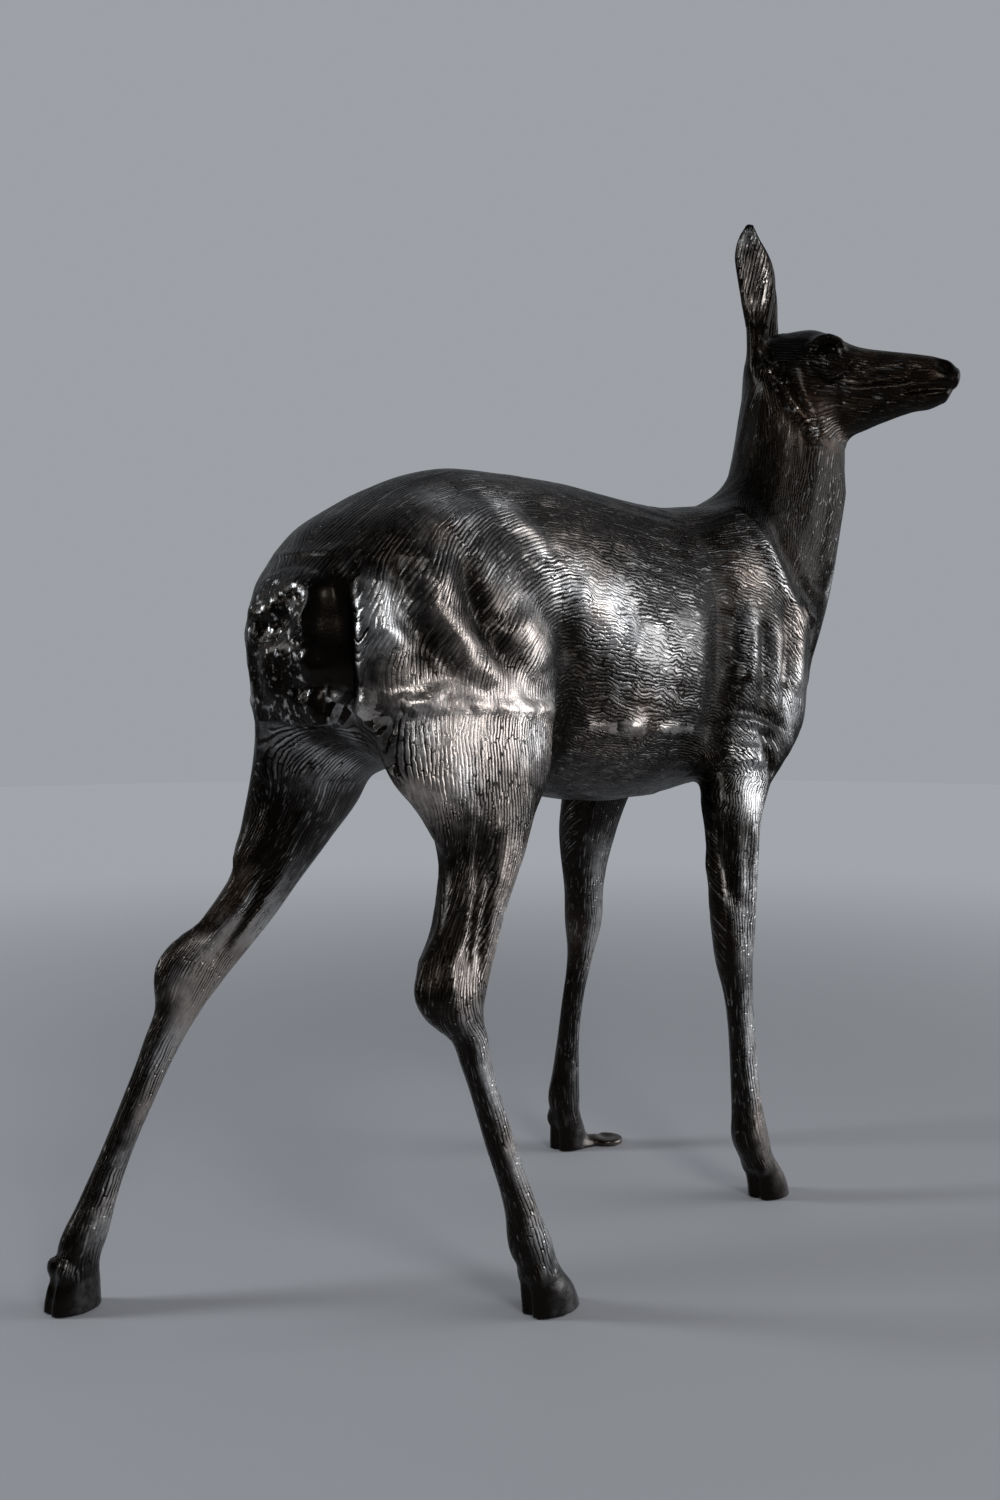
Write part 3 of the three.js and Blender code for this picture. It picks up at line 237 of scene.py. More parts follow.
# Scraped bands over the welded joints of the flanks: half width, points x and z.
WELDS = [
    (1.6, [(-49, 49.2), (-46.2, 49.7), (-41.5, 50)]), (1.2, [(-42, 50), (-38.5, 49.7), (-34.6, 49.4)]),
    (0.8, [(-36, 49.6), (-31, 49.2), (-26.8, 48.9)]),
    (0.5, [(-21.8, 47.3), (-16.8, 47), (-8.1, 46.6)]), (0.9, [(-17.4, 47.2), (-16, 47)]),
]
# Where the hair turns from the flank down a leg: x and z of the turning points.
GROIN = (-24, 46)
ARMPIT = (-5, 42)
TURN_LENGTH = 12  # length along the hair of a quarter turn, per radian
# Lower edge of the neck: z and x.
NECK_EDGE = [(54, 12), (56.4, 11.2), (59.2, 8.7), (61.9, 6.9), (65.4, 5.4), (67.9, 4.1), (72, 2)]

# Where the patina is worn through on the flanks, and painted highlights where the lights catch them; a
# negative amount takes bare metal away: amount, half width, points x and z.
FLANK_PATINA = 0.16
LEG_PAINTED_HIGHLIGHT = 0.95  # painted highlight: bare metal where a leg looks ahead or to the right, towards the main lights
WEAR_AND_PAINTED_HIGHLIGHTS = [
    (0.55, 3.0, [(-45.5, 45.8), (-40, 46.6), (-33, 46.6), (-28, 46)]),  # thigh under the joint
    (0.6, 3.0, [(-41, 43), (-36.5, 40), (-37, 35)]),
    (0.45, 2.0, [(-46.6, 56.4), (-46.4, 52.6), (-44.4, 51.2)]),
    (0.6, 1.3, [(-41, 58.6), (-40.9, 57), (-39.6, 54.2), (-37.6, 51.8), (-33.4, 50.6)]),
    (0.4, 2.4, [(-32.6, 57), (-31.4, 54)]),
    (0.4, 1.4, [(-38.6, 66.4), (-36.4, 66.8)]),
    (0.5, 1.5, [(-31.4, 65.8), (-27.4, 63.2)]),
    (0.5, 2.6, [(-26, 60.8), (-22.6, 58.4), (-19.4, 55.6)]),  # last ribs
    (0.14, 4.0, [(-20, 60.5), (-14, 58), (-9, 57)]),
    (-0.08, 3.0, [(-8.4, 57), (-8.8, 48)]),
    (0.12, 3.4, [(-18, 55.4), (-12, 54)]),
    (0.1, 3.0, [(-18, 49.6), (-10, 49)]),
    (-0.16, 2.6, [(-3.2, 60), (-3.6, 52), (-4.6, 43)]), (-0.16, 2.2, [(-25, 57), (-25, 45)]),
    (0.5, 1.4, [(0.9, 56.6), (0.2, 50.4)]),  # shoulder
    (0.5, 1.4, [(4.8, 56.2), (4.3, 50)]),
    (0.65, 1.7, [(8.4, 57), (8.6, 50), (7, 46.4)]),
    (0.6, 2.0, [(0.2, 46.2), (-0.4, 41), (0.6, 37)]),
    (0.35, 0.9, [(5, 64.6), (7.6, 59.4), (10.6, 58.4), (13, 55.6)]),
    (0.4, 1.3, [(-47.6, 50.4), (-42, 50.4), (-34, 49.8), (-27, 49)]),
    (0.3, 0.7, [(-17.6, 47.2), (-15.6, 47)]),
]
# Painted highlight down the front of the neck, on what faces ahead: amount, half width, points x and z.
NECK_PAINTED_HIGHLIGHT = [(0.6, 1.0, [(19.2, 71), (17.8, 66), (15.9, 60.6)])]
# Brown patches: place, radius, amount.
BROWN_SPOTS = [
    ((1.6, -8.5, 61.6), 2.6, 0.7), ((14, -8, 79), 3.0, 0.8), ((17, -8.6, 76.5), 2.2, 0.6),
    ((20.4, -10.6, 84.6), 2.6, 0.9), ((18.6, -8.4, 82.6), 2.4, 0.8), ((23, -14.6, 84), 2.6, 0.9),
    ((-40.6, -9, 64), 2.2, 0.7), ((-43, -11, 50.4), 2.0, 0.8),
    ((-32, -11.5, 49.6), 2.4, 0.6), ((-22, -9.5, 57.4), 1.6, 0.5), ((-15, -9, 47.2), 1.8, 0.6),
    ((-43, -13, 28), 2.6, 0.6), ((-51.6, 11, 27), 3.2, 0.7), ((-48, 10.5, 33), 3.4, 0.5),
    ((2.2, 10.1, 0.4), 3.0, 0.9), ((-2, 10.4, 24), 3.0, 0.5), ((-2.6, -10.5, 26), 2.4, 0.5),
]

# Axes of a limb: across, across, along.
WORLD = np.eye(3)
LENGTHWISE = np.array([[0, 1, 0], [0, 0, 1], [1, 0, 0]], float)
OUT_OF_REACH = 9.0  # a distance that stands for far away
MARGIN = 7.0  # how far off a shape still matters

# Sizes of the finish, per metre.
TUFTS_ACROSS, TUFTS_ALONG = 62.0, 26.0
WELD_FLAKES = 62.0
# And in metres.
FINE_GRAIN, ROUGH_GRAIN = 0.0035, 0.0085
FINE_DEPTH, ROUGH_DEPTH = 0.0004, 0.0015


class DoeForm(bpy.types.PropertyGroup):
    height: bpy.props.FloatProperty(
        name="Height", description="Floor to the tip of the right ear", default=1.205, unit="LENGTH",
    )
    cell: bpy.props.FloatProperty(
        name="Cell", description="Spacing of the lattice that the skin is drawn on", default=0.0037,
        unit="LENGTH", precision=4,
    )
    triangles: bpy.props.IntProperty(
        name="Triangles", description="Most triangles that the statue keeps", default=196000,
    )
    lug_radius: bpy.props.FloatProperty(
        name="Lug radius", description="Round foot at the toe of the left fore hoof", default=0.022,
        unit="LENGTH",
    )
    lug_rise: bpy.props.FloatProperty(
        name="Lug rise", description="Height of that foot", default=0.009, unit="LENGTH",
    )
    eye_size: bpy.props.FloatProperty(
        name="Eye size", description="Half length of an eyeball", default=0.012, unit="LENGTH",
    )
    lock_rise: bpy.props.FloatProperty(
        name="Lock rise", description="How far the locks of hair stand proud", default=0.0010, unit="LENGTH",
        precision=4,
    )
    weld_rise: bpy.props.FloatProperty(
        name="Weld rise", description="How far the weld beads stand proud", default=0.0016, unit="LENGTH",
        precision=4,
    )


class DoeFinish(bpy.types.PropertyGroup):
    patina: bpy.props.FloatVectorProperty(
        name="Patina", description="Colour of the dark patina", default=(0.0105, 0.0076, 0.0054), size=3,
        subtype="COLOR",
    )
    worn: bpy.props.FloatVectorProperty(
        name="Worn metal", description="Colour of the metal rubbed bare", default=(0.7, 0.69, 0.68), size=3,
        subtype="COLOR",
    )
    copper: bpy.props.FloatVectorProperty(
        name="Copper tint", description="Colour of the brown patches", default=(0.33, 0.215, 0.145), size=3,
        subtype="COLOR",
    )
    dark_brown: bpy.props.FloatVectorProperty(
        name="Brown patina", description="Colour of the patina where it has turned brown",
        default=(0.05, 0.03, 0.018), size=3, subtype="COLOR",
    )
    hair_pitch: bpy.props.FloatProperty(
        name="Hair pitch", description="Distance from one carved hair to the next", default=0.0042,
        unit="LENGTH", precision=4,
    )
    hair_length: bpy.props.FloatProperty(
        name="Hair length", description="Length of a carved hair", default=0.04, unit="LENGTH",
    )
    hair_depth: bpy.props.FloatProperty(
        name="Hair depth", description="Depth of the carved hair", default=0.0012, unit="LENGTH", precision=4,
    )


class DoeStudio(bpy.types.PropertyGroup):
    floor_colour: bpy.props.FloatVectorProperty(
        name="Floor", description="Colour of the floor", default=(0.62, 0.63, 0.66), size=3, subtype="COLOR",
    )
    floor_radius: bpy.props.FloatProperty(
        name="Floor radius", description="Radius of the round floor", default=7.0, unit="LENGTH",
    )
    key_power: bpy.props.FloatProperty(
        name="Key light", description="Power of the main soft light, in watts", default=60.0,
    )
    sky_strength: bpy.props.FloatProperty(
        name="Surround", description="Strength of the light from all round", default=0.55,
    )


def blend(a, b, width):
    """Smooth union of two distances."""
    h = np.maximum(width - np.abs(a - b), 0) / width
    return np.minimum(a, b) - h * h * width * 0.25


def smooth(low, high, v):
    """0 below low, 1 above high, and a soft step between."""
    t = np.clip((v - low) / (high - low), 0, 1)
    return t * t * (3 - 2 * t)


def resample(rows, count=96):
    """Rows resampled along their first column with a smooth curve."""
    rows = np.array(rows, float)
    at, values = rows[:, 0], rows[:, 1:]
    step = np.diff(at)[:, None]
    slope = np.diff(values, axis=0) / step
    tangent = np.empty_like(values)
    tangent[0], tangent[-1] = slope[0], slope[-1]
    tangent[1:-1] = (slope[:-1] * step[1:] + slope[1:] * step[:-1]) / (step[1:] + step[:-1])
    out = np.linspace(at[0], at[-1], count)
    i = np.clip(np.searchsorted(at, out, side="right") - 1, 0, len(at) - 2)
    h = step[i]
    t = (out[:, None] - at[i][:, None]) / h
    curve = (
        (2 * t**3 - 3 * t**2 + 1) * values[i] + (t**3 - 2 * t**2 + t) * h * tangent[i]
        + (3 * t**2 - 2 * t**3) * values[i + 1] + (t**3 - t**2) * h * tangent[i + 1]
    )
    return np.column_stack([out, curve])


class Limb:
    """Oval slices along an axis. Rows are w, u, v, half u, half v in the given axes."""

    def __init__(self, axes, origin, rows, power=2.0, lean=0.0, cap=1.0):
        self.axes, self.origin = np.array(axes, float), np.array(origin, float)
        self.table = resample(rows)
        self.power, self.lean, self.cap = power, lean, cap
        w = self.table[:, 0]
        run = np.gradient(self.table[:, 1:3], w, axis=0)
        self.steep = 1 / np.sqrt(1 + (run**2).sum(1))
        middles = self.origin + self.table[:, [1, 2, 0]] @ self.axes
        reach = self.table[:, 3:].max(1)[:, None] * 1.15
        self.low = (middles - reach).min(0) - MARGIN
        self.high = (middles + reach).max(0) + MARGIN

    def slices(self, w):
        """The slice at each w, and how steeply the limb leans there."""
        table = self.table
        held = np.clip(w, table[0, 0], table[-1, 0])
        f = (held - table[0, 0]) / (table[-1, 0] - table[0, 0]) * (len(table) - 1)
        i = np.minimum(f.astype(int), len(table) - 2)
        t = f - i
        now = table[i] * (1 - t)[:, None] + table[i + 1] * t[:, None]
        return held, now, self.steep[i] * (1 - t) + self.steep[i + 1] * t

    def __call__(self, points):
        q = (points - self.origin) @ self.axes.T
        held, now, steep = self.slices(q[:, 2])
        gap = np.column_stack([q[:, 0] - now[:, 1], q[:, 1] - now[:, 2], q[:, 2] - held])
        half = np.empty_like(gap)
        half[:, 0] = now[:, 3] * (1 + self.lean * np.clip(gap[:, 1] / now[:, 4], -1.2, 1.2))
        half[:, 1] = now[:, 4]
        half[:, 2] = np.minimum(half[:, 0], half[:, 1]) * self.cap
        near = np.sqrt(((gap / half) ** 2).sum(1))
        rate = np.sqrt(((gap / half**2) ** 2).sum(1)) + 1e-9
        if self.power != 2:
            full = (np.abs(gap / half) ** self.power).sum(1) ** (1 / self.power)
            rate = rate / (near + 1e-9) * full + 1e-9
            near = full
        return near * (near - 1) / rate * steep


class Mass:
    """An ellipsoid in the given axes."""

    def __init__(self, centre, half, axes=WORLD):
        self.centre, self.half = np.array(centre, float), np.array(half, float)
        self.axes = np.array(axes, float)
        reach = self.half.max() + MARGIN
        self.low, self.high = self.centre - reach, self.centre + reach

    def __call__(self, points):
        q = (points - self.centre) @ self.axes.T
        near = np.sqrt(((q / self.half) ** 2).sum(1))
        rate = np.sqrt(((q / self.half**2) ** 2).sum(1)) + 1e-9
        return near * (near - 1) / rate


class Hollowed:
    """A shape with another one cut out of it, with a soft rim."""

    def __init__(self, shape, hollow, rim):
        self.shape, self.hollow, self.rim = shape, hollow, rim
        self.low, self.high = shape.low, shape.high

    def __call__(self, points):
        return -blend(-self.shape(points), self.hollow(points), self.rim)


def join(distance, points, shape, width):
    """Adds a shape to a field of distances, working only where it can matter."""
    near = ((points > shape.low) & (points < shape.high)).all(1)
    if near.any():
        distance[near] = blend(distance[near], shape(points[near]), width)
    return distance


def join_all(distance, points, **shapes):
    """Adds shapes by their sort, each with the soft width of that sort."""
    for sort, group in shapes.items():
        for shape in group:
            distance = join(distance, points, shape, SOFT[sort])
    return distance


def along_line(a, b, points):
    """Squared distance from (a, b) to a line of points, and how far along it that is, 0 to 1."""
    best = np.full(len(a), np.inf)
    along = np.zeros(len(a))
    points = np.array(points, float)
    lengths = np.hypot(*np.diff(points, axis=0).T)
    done = 0.0
    for (pa, pb), (qa, qb), length in zip(points[:-1], points[1:], lengths):
        ea, eb = qa - pa, qb - pb
        t = np.clip(((a - pa) * ea + (b - pb) * eb) / (ea * ea + eb * eb), 0, 1)
        gap = (a - pa - t * ea) ** 2 + (b - pb - t * eb) ** 2
        closer = gap < best
        best = np.where(closer, gap, best)
        along = np.where(closer, (done + t * length) / lengths.sum(), along)
        done += length
    return best, along


def carved(a, b, lines, scale=1.0):
    """Rise of carved lines at (a, b): highest on a line, fading at its ends."""
    rise = np.zeros(len(a))
    for width, height, points in lines:
        pa, pb = np.array(points, float).T
        reach = 2.6 * width
        near = (a > pa.min() - reach) & (a < pa.max() + reach)
        near &= (b > pb.min() - reach) & (b < pb.max() + reach)
        if not near.any():
            continue
        gap, along = along_line(a[near], b[near], points)
        fade = np.clip(np.minimum(along, 1 - along) / 0.22 * 0.75 + 0.25, 0, 1) if len(points) > 2 else 1
        rise[near] += scale * height * fade * np.exp(-gap / width**2)
    return rise


def hashed(cells, seed):
    """A number from 0 to 1 for each lattice cell, the same on every run."""
    x, y, z = (cells.astype(np.int64) & 0xFFFFF).T
    h = (x * 73856093) ^ (y * 19349663) ^ (z * 83492791) ^ (seed * 2654435761)
    h = (h ^ (h >> 13)) * 1274126177 & 0xFFFFFFFF
    return ((h ^ (h >> 16)) & 0xFFFF) / 65535.0


def noise(points, seed):
    """Smooth noise from -1 to 1."""
    cell = np.floor(points)
    t = points - cell
    t = t * t * (3 - 2 * t)
    total = np.zeros(len(points))
    for corner in np.ndindex(2, 2, 2):
        weight = np.prod(np.where(corner, t, 1 - t), axis=1)
        total += weight * hashed(cell + corner, seed)
    return 2 * total - 1


class Doe:
    """The statue as a field of distances, less than zero inside."""

    def __init__(self, form):
        unit = form.height / EAR_TIP
        turn, pitch = math.radians(HEAD_TURN), math.radians(HEAD_PITCH)
        self.side = np.array([-math.sin(turn), math.cos(turn), 0])
        self.ahead = np.array([
            math.cos(turn) * math.cos(pitch), math.sin(turn) * math.cos(pitch), math.sin(pitch),
        ])
        self.up = np.cross(self.ahead, self.side)
        self.head_axes = np.array([self.side, self.up, self.ahead])
        ear_axes = np.array([self.side, -self.ahead, self.up])
        origin = np.zeros(3)
        mirror = np.array([1, -1, 1])

        self.trunk = Limb(
            LENGTHWISE, origin, [(x, 0, (t + b) / 2, half, (t - b) / 2) for x, t, b, half in TRUNK],
            power=2.2, lean=-0.1, cap=0.35,
        )
        self.neck = Limb(WORLD, origin, NECK, cap=0.5)
        self.legs = [
            Limb(WORLD, origin, rows, cap=0.5) for rows in (RIGHT_HIND, LEFT_HIND, RIGHT_FORE, LEFT_FORE)
        ]
        self.tail = Limb(WORLD, origin, TAIL, power=4, cap=0.4)
        self.haunches, self.shoulders = (
            [Mass(centre * side, half) for side in (np.ones(3), mirror)]
            for centre, half in (HAUNCH, SHOULDER)
        )
        self.skull = Limb(self.head_axes, HEAD_AT, SKULL, cap=0.5)
        self.jaw = Limb(self.head_axes, HEAD_AT, JAW, cap=0.6)
        eye_half = np.array(EYE_FORM) * form.eye_size / unit
        self.brows, self.eyes = (
            [Mass(self.on_head(forward, up, side * s), half, self.head_axes) for s in (-1, 1)]
            for (forward, up, side), half in ((BROW_AT, BROW_HALF), (EYE_AT, eye_half))
        )
        self.ears = []
        for rows, out in ((RIGHT_EAR, -1), (LEFT_EAR, 1)):
            leaf = Limb(ear_axes, HEAD_AT, rows)
            hollow = []
            for height, outward, thick, broad in EAR_HOLLOW:
                at = leaf.slices(np.array([float(height)]))[1][0]
                hollow.append((height, at[1] + out * outward, at[2] + 0.05, thick, broad))
            self.ears.append(Hollowed(leaf, Limb(ear_axes, HEAD_AT, hollow), SOFT["ear rim"]))
        self.claws = [
            Mass((x - behind, y + side * CLAW_APART, CLAW_HEIGHT), CLAW_HALF)
            for x, y, behind in SOLES for side in (-1, 1)
        ]
        disc, rise = form.lug_radius / unit, form.lug_rise / unit
        lug_rows = [(z, *LUG_AT, disc, disc) for z in (-2, rise * 0.7)]
        dimple = Mass((*LUG_AT, rise * 1.2), (disc * 0.65, disc * 0.65, rise * 0.5))
        self.lug = Hollowed(Limb(WORLD, origin, lug_rows, cap=rise * 0.3 / disc), dimple, SOFT["lug rim"])
        toe_x, toe_y = (LUG_AT[0] + SOLES[3][0]) / 2 + 0.3, (LUG_AT[1] + SOLES[3][1]) / 2
        self.toe = Mass((toe_x, toe_y, 0), (1.9, 1.2, 1))  # joins the lug to the hoof

    def on_head(self, forward, up, side):
        """A place given along the axes of the head."""
        return HEAD_AT + self.ahead * forward + self.up * up + self.side * side

    def bare(self, points):
        """Distance to the form before it is carved."""
        distance = join_all(
            np.full(len(points), OUT_OF_REACH), points, trunk=[self.trunk], neck=[self.neck],
            haunch=self.haunches, shoulder=self.shoulders, leg=self.legs,
        )
        high = points[:, 2] > HEAD_ABOVE
        if high.any():
            at = points[high]
            head = join_all(
                np.full(len(at), OUT_OF_REACH), at, skull=[self.skull], jaw=[self.jaw], brow=self.brows,
                ear=self.ears,
            )
            distance[high] = blend(distance[high], head, SOFT["head"])
        distance = join_all(distance, points, tail=[self.tail])
        low = points[:, 2] < FEET_BELOW
        if low.any():
            feet = {"toe": [self.toe], "lug": [self.lug], "claw": self.claws}
            distance[low] = join_all(distance[low], points[low], **feet)
        return distance

    def carving(self, points):
        """How far the carved lines raise the skin."""
        x, y, z = points.T
        right = y < 0
        rise = np.empty(len(points))
        rise[right] = carved(x[right], z[right], BOTH + RIGHT)
        rise[~right] = carved(x[~right], z[~right], BOTH, 0.9) + carved(x[~right], z[~right], LEFT)
        rise *= np.clip((np.abs(y) - 2) / 3, 0, 1)
        behind = x < RUMP_BEHIND
        rise[behind] += carved(y[behind], z[behind], REAR) * np.clip((RUMP_BEHIND - x[behind]) / 3, 0, 1)
        width, depth, height = CLEFT
        for sx, sy, _ in SOLES:
            foot = (np.abs(x - sx) < 5) & (np.abs(y - sy) < 4) & (z < 4)
            groove = np.exp(-(((y[foot] - sy) / width) ** 2))
            rise[foot] -= depth * groove * np.clip((height - z[foot]) / 1.2, 0, 1)
        high = z > HEAD_ABOVE
        q = (points[high] - HEAD_AT) @ self.head_axes.T
        rise[high] += carved(q[:, 2], q[:, 1], FACE) * np.clip((np.abs(q[:, 0]) - 0.5) / 0.8, 0, 1)
        return rise

    def __call__(self, points):
        distance = self.bare(points)
        near = np.abs(distance) < 4
        distance[near] -= self.carving(points[near])
        return join_all(distance, points, eye=self.eyes)

    def above_floor(self, points):
        """The statue cut off flat at the floor."""
        return np.maximum(self(points), -points[:, 2])

    def normals(self, points, step=0.03):
        """Slope of the field, which points out of the skin."""
        slope = np.empty_like(points)
        for i in range(3):
            shift = np.zeros(3)
            shift[i] = step
            slope[:, i] = self(points + shift) - self(points - shift)
        return slope / (2 * step)


def lattice_skin(field, low, high, cell, block=4, reach=1.7):
    """Quads over the zero level of a field, one point in every cell that it passes through."""
    low = np.array(low, float)
    n = np.ceil((np.array(high) - low) / cell / block).astype(int) * block + 1
    blocks = (n - 1) // block
    at = np.stack(np.meshgrid(*[np.arange(k) for k in blocks], indexing="ij"), -1).reshape(-1, 3)
    middle = field(low + (at * block + block / 2) * cell)
    sign = np.where(middle < 0, -OUT_OF_REACH, OUT_OF_REACH).astype(np.float32).reshape(blocks)
    values = np.full(n, OUT_OF_REACH, np.float32)
    values[:-1, :-1, :-1] = sign.repeat(block, 0).repeat(block, 1).repeat(block, 2)
    close = at[np.abs(middle) < math.sqrt(3) * block * cell / 2 * reach]
    inner = np.stack(np.meshgrid(*[np.arange(block + 1)] * 3, indexing="ij"), -1).reshape(-1, 3)
    batch = 3000
    for s in range(0, len(close), batch):
        spots = (close[s:s + batch, None, :] * block + inner).reshape(-1, 3)
        flat = np.unique(np.ravel_multi_index(spots.T, n))
        nodes = np.stack(np.unravel_index(flat, n), 1)
        values.reshape(-1)[flat] = field(low + nodes * cell)

    solid = values < 0
    corners = list(np.ndindex(2, 2, 2))
    count = np.zeros(tuple(n - 1), np.uint8)
    for a, b, c in corners:
        count += solid[a:n[0] - 1 + a, b:n[1] - 1 + b, c:n[2] - 1 + c]
    cells = np.argwhere((count > 0) & (count < 8))
    owner = np.full(tuple(n - 1), -1, np.int32)
    owner[tuple(cells.T)] = np.arange(len(cells))
    total = np.zeros((len(cells), 3))
    hits = np.zeros(len(cells))
    for p in corners:
        for m in range(3):
            if p[m]:
                continue
            q = tuple(v + (i == m) for i, v in enumerate(p))
            va, vb = values[tuple((cells + p).T)], values[tuple((cells + q).T)]
            cut = (va < 0) != (vb < 0)
            t = va[cut] / (va[cut] - vb[cut])
            total[cut] += np.array(p) + (np.array(q) - p) * t[:, None]
            hits[cut] += 1
    points = low + (cells + total / hits[:, None]) * cell

    quads = []
    for m in range(3):
        shift = np.eye(3, dtype=int)[m]
        here = solid[:n[0] - shift[0], :n[1] - shift[1], :n[2] - shift[2]]
        there = solid[shift[0]:, shift[1]:, shift[2]:]
        edges = np.argwhere(here != there)
        p, q = (m + 1) % 3, (m + 2) % 3
        inside = here[tuple(edges.T)]
        ring = []
        for dp, dq in ((1, 1), (0, 1), (0, 0), (1, 0)):
            spot = edges.copy()
            spot[:, p] -= dp
            spot[:, q] -= dq
            ring.append(owner[tuple(spot.T)])
        ring = np.stack(ring, 1)
        ring[~inside] = ring[~inside][:, ::-1]
        quads.append(ring)
    return points, np.concatenate(quads)


def over_edge(value, centre, half, inward):
    """How far a coordinate has run on round the edges of a slice: inward, counted where value nears them."""
    gap = (value - centre) / half
    return value + np.sign(gap) * inward * smooth(0.4, 0.95, np.abs(gap))


def round_limb(limb, points):
    """Distances across a limb, counted round its slice, and the slices themselves."""
    here = limb.slices(points[:, 2])[1]
    inward = here[:, 4] - np.abs(points[:, 1] - here[:, 2])
    return over_edge(points[:, 0], here[:, 1], here[:, 3], inward) - here[:, 1], here


def hair_flow(doe, points):
    """Distance across the lie of the hair and along it, over the skin, and the stretch it is in."""
    x, y, z = points.T
    trunk = doe.trunk.slices(x)[1]
    level = over_edge(z, trunk[:, 2], trunk[:, 4], trunk[:, 3] - np.abs(y))
    across = level - np.interp(x, (GROIN[0], ARMPIT[0]), (GROIN[1], ARMPIT[1]))
    along = x.copy()
    stretch = np.zeros(len(points))
    turns = ((GROIN, -1, doe.legs[:2]), (ARMPIT, 1, doe.legs[2:]))
    for number, ((turn_x, turn_z), way, legs) in enumerate(turns):
        part = (x - turn_x) * way >= 0
        out = (x[part] - turn_x) * way
        lower = z[part] - turn_z
        rise = lower + (level[part] - z[part]) * smooth(0, 6, lower)
        angle = np.arctan2(out, np.maximum(rise, 1e-6))
        down = out.copy()
        for leg, mine in zip(legs, (y[part] < 0, y[part] >= 0)):
            round_leg, here = round_limb(leg, points[part][mine])
            top = leg.slices(np.array([float(turn_z)]))[1][0]
            straight = x[part][mine] - here[:, 1]
            share = smooth(0, -8, lower[mine])
            down[mine] = way * (straight + (round_leg - straight) * share + top[1] - turn_x)
        upper = lower >= 0
        across[part] = np.where(upper, np.hypot(out, np.maximum(rise, 0)), down)
        turned = np.where(upper, TURN_LENGTH * angle, math.pi / 2 * TURN_LENGTH - lower)
        along[part] = turn_x + way * turned
        stretch[part] = 1 + number
    edge = np.interp(z, *np.array(NECK_EDGE, float).T, left=60, right=-60)
    neck = x > edge
    across[neck], _ = round_limb(doe.neck, points[neck])
    along[neck] = z[neck]
    stretch[neck] = 3
    q = (points - HEAD_AT) @ doe.head_axes.T
    head = (z > FACE_ABOVE) & (q[:, 2] > 0.3 - 0.55 * (q[:, 1] + 1.8)) & (q[:, 1] < 9)
    skull = doe.skull.slices(q[head][:, 2])[1]
    inward = skull[:, 3] - np.abs(q[head][:, 0])
    across[head] = over_edge(q[head][:, 1], skull[:, 2] - 1, skull[:, 4] + 1, inward)
    along[head] = q[head][:, 2]
    stretch[head] = 4
    ear = (z > FACE_ABOVE) & (q[:, 1] > 2.2) & (q[:, 2] < 0.5)
    across[ear], along[ear] = q[ear][:, 2] + 0.5 * q[ear][:, 0], q[ear][:, 1]
    stretch[ear] = 5
    return across, along, stretch


def new_mesh(name, points, faces):
    mesh = bpy.data.meshes.new(name)
    mesh.from_pydata(points.tolist(), [], faces.tolist())
    mesh.update()
    return mesh


def mesh_points(mesh):
    co = np.empty(len(mesh.vertices) * 3, np.float32)
    mesh.vertices.foreach_get("co", co)
    return co.reshape(-1, 3).astype(float)


def thin_out(mesh, most):
    """The mesh with its flat stretches drawn in fewer triangles."""
    count = sum(len(p.vertices) - 2 for p in mesh.polygons)
    if count <= most:
        return mesh
    holder = bpy.data.objects.new("thinning", mesh)
    bpy.context.scene.collection.objects.link(holder)
    holder.modifiers.new("triangles", "TRIANGULATE")
    fewer = holder.modifiers.new("fewer", "DECIMATE")
    fewer.ratio = most / count
    made = bpy.data.meshes.new_from_object(holder.evaluated_get(bpy.context.evaluated_depsgraph_get()))
    bpy.data.objects.remove(holder)
    return made


def near_lines(a, b, lines):
    """Sum of soft bands along lines: amount, half width, points."""
    total = np.zeros(len(a))
    for amount, width, points in lines:
        gap, _ = along_line(a, b, points)
        total += amount * np.exp(-gap / width**2)
    return total


def round_tail(x, z):
    """1 over the part of the rump that holds the tail, softly 0 off it."""
    return smooth(-44.5, -47, x) * smooth(47, 48.5, z) * smooth(61, 59, z)


def wear_and_painted_light(doe, points, normals):
    """How bright the metal shows, 0 to 1: the patina worn through to bare metal, with painted highlights
    where the lights catch the flanks, the legs, the front of the neck and the ear hollows.
    """
    x, y, z = points.T
    flank = smooth(1.5, 4, np.abs(y)) * np.where(y < 0, 1, 0.75)
    bare = FLANK_PATINA + near_lines(x, z, WEAR_AND_PAINTED_HIGHLIGHTS) * flank
    # Painted highlight on the legs: bare metal on the sides that face ahead and to the right, towards the
    # main lights, more on the right legs.
    out = normals[:, 0] * 0.75 - normals[:, 1] * 0.6
    leg = smooth(38, 30, z)
    shown = np.where(y < 0, 1, 0.6)
    bare = bare * (1 - leg) + leg * (0.08 + LEG_PAINTED_HIGHLIGHT * shown * smooth(-0.15, 0.8, out))
    bare *= 0.35 + 0.65 * smooth(3, 10, z)
    bare *= 1 - 0.6 * smooth(2, 5, y) * smooth(52, 44, z) * (1 - leg)
    bare *= 1 - 0.8 * round_tail(x, z) * smooth(7, 6, np.abs(y))
    high = smooth(70, 76, z)
    neck = smooth(-1.5, 1, x - np.interp(z, *np.array(NECK_EDGE, float).T))
    bare *= 1 - neck * 0.95 * smooth(52, 60, z)
    # Painted highlight down the front of the neck where it faces ahead, below the head.
    bare = np.maximum(bare, near_lines(x, z, NECK_PAINTED_HIGHLIGHT) * smooth(-0.2, 0.5, normals[:, 0]) * (1 - high))
    # Painted reflection: bright bare metal in the upper part of each ear hollow.
    for ear in doe.ears:
        inner = z > 84
        hollow = np.zeros(len(points))
        hollow[inner] = smooth(0.45, 0.1, ear.hollow(points[inner]))
        bare = np.maximum(bare, 0.8 * hollow * smooth(88.5, 91.5, z))
    return np.clip(bare, 0, 1)


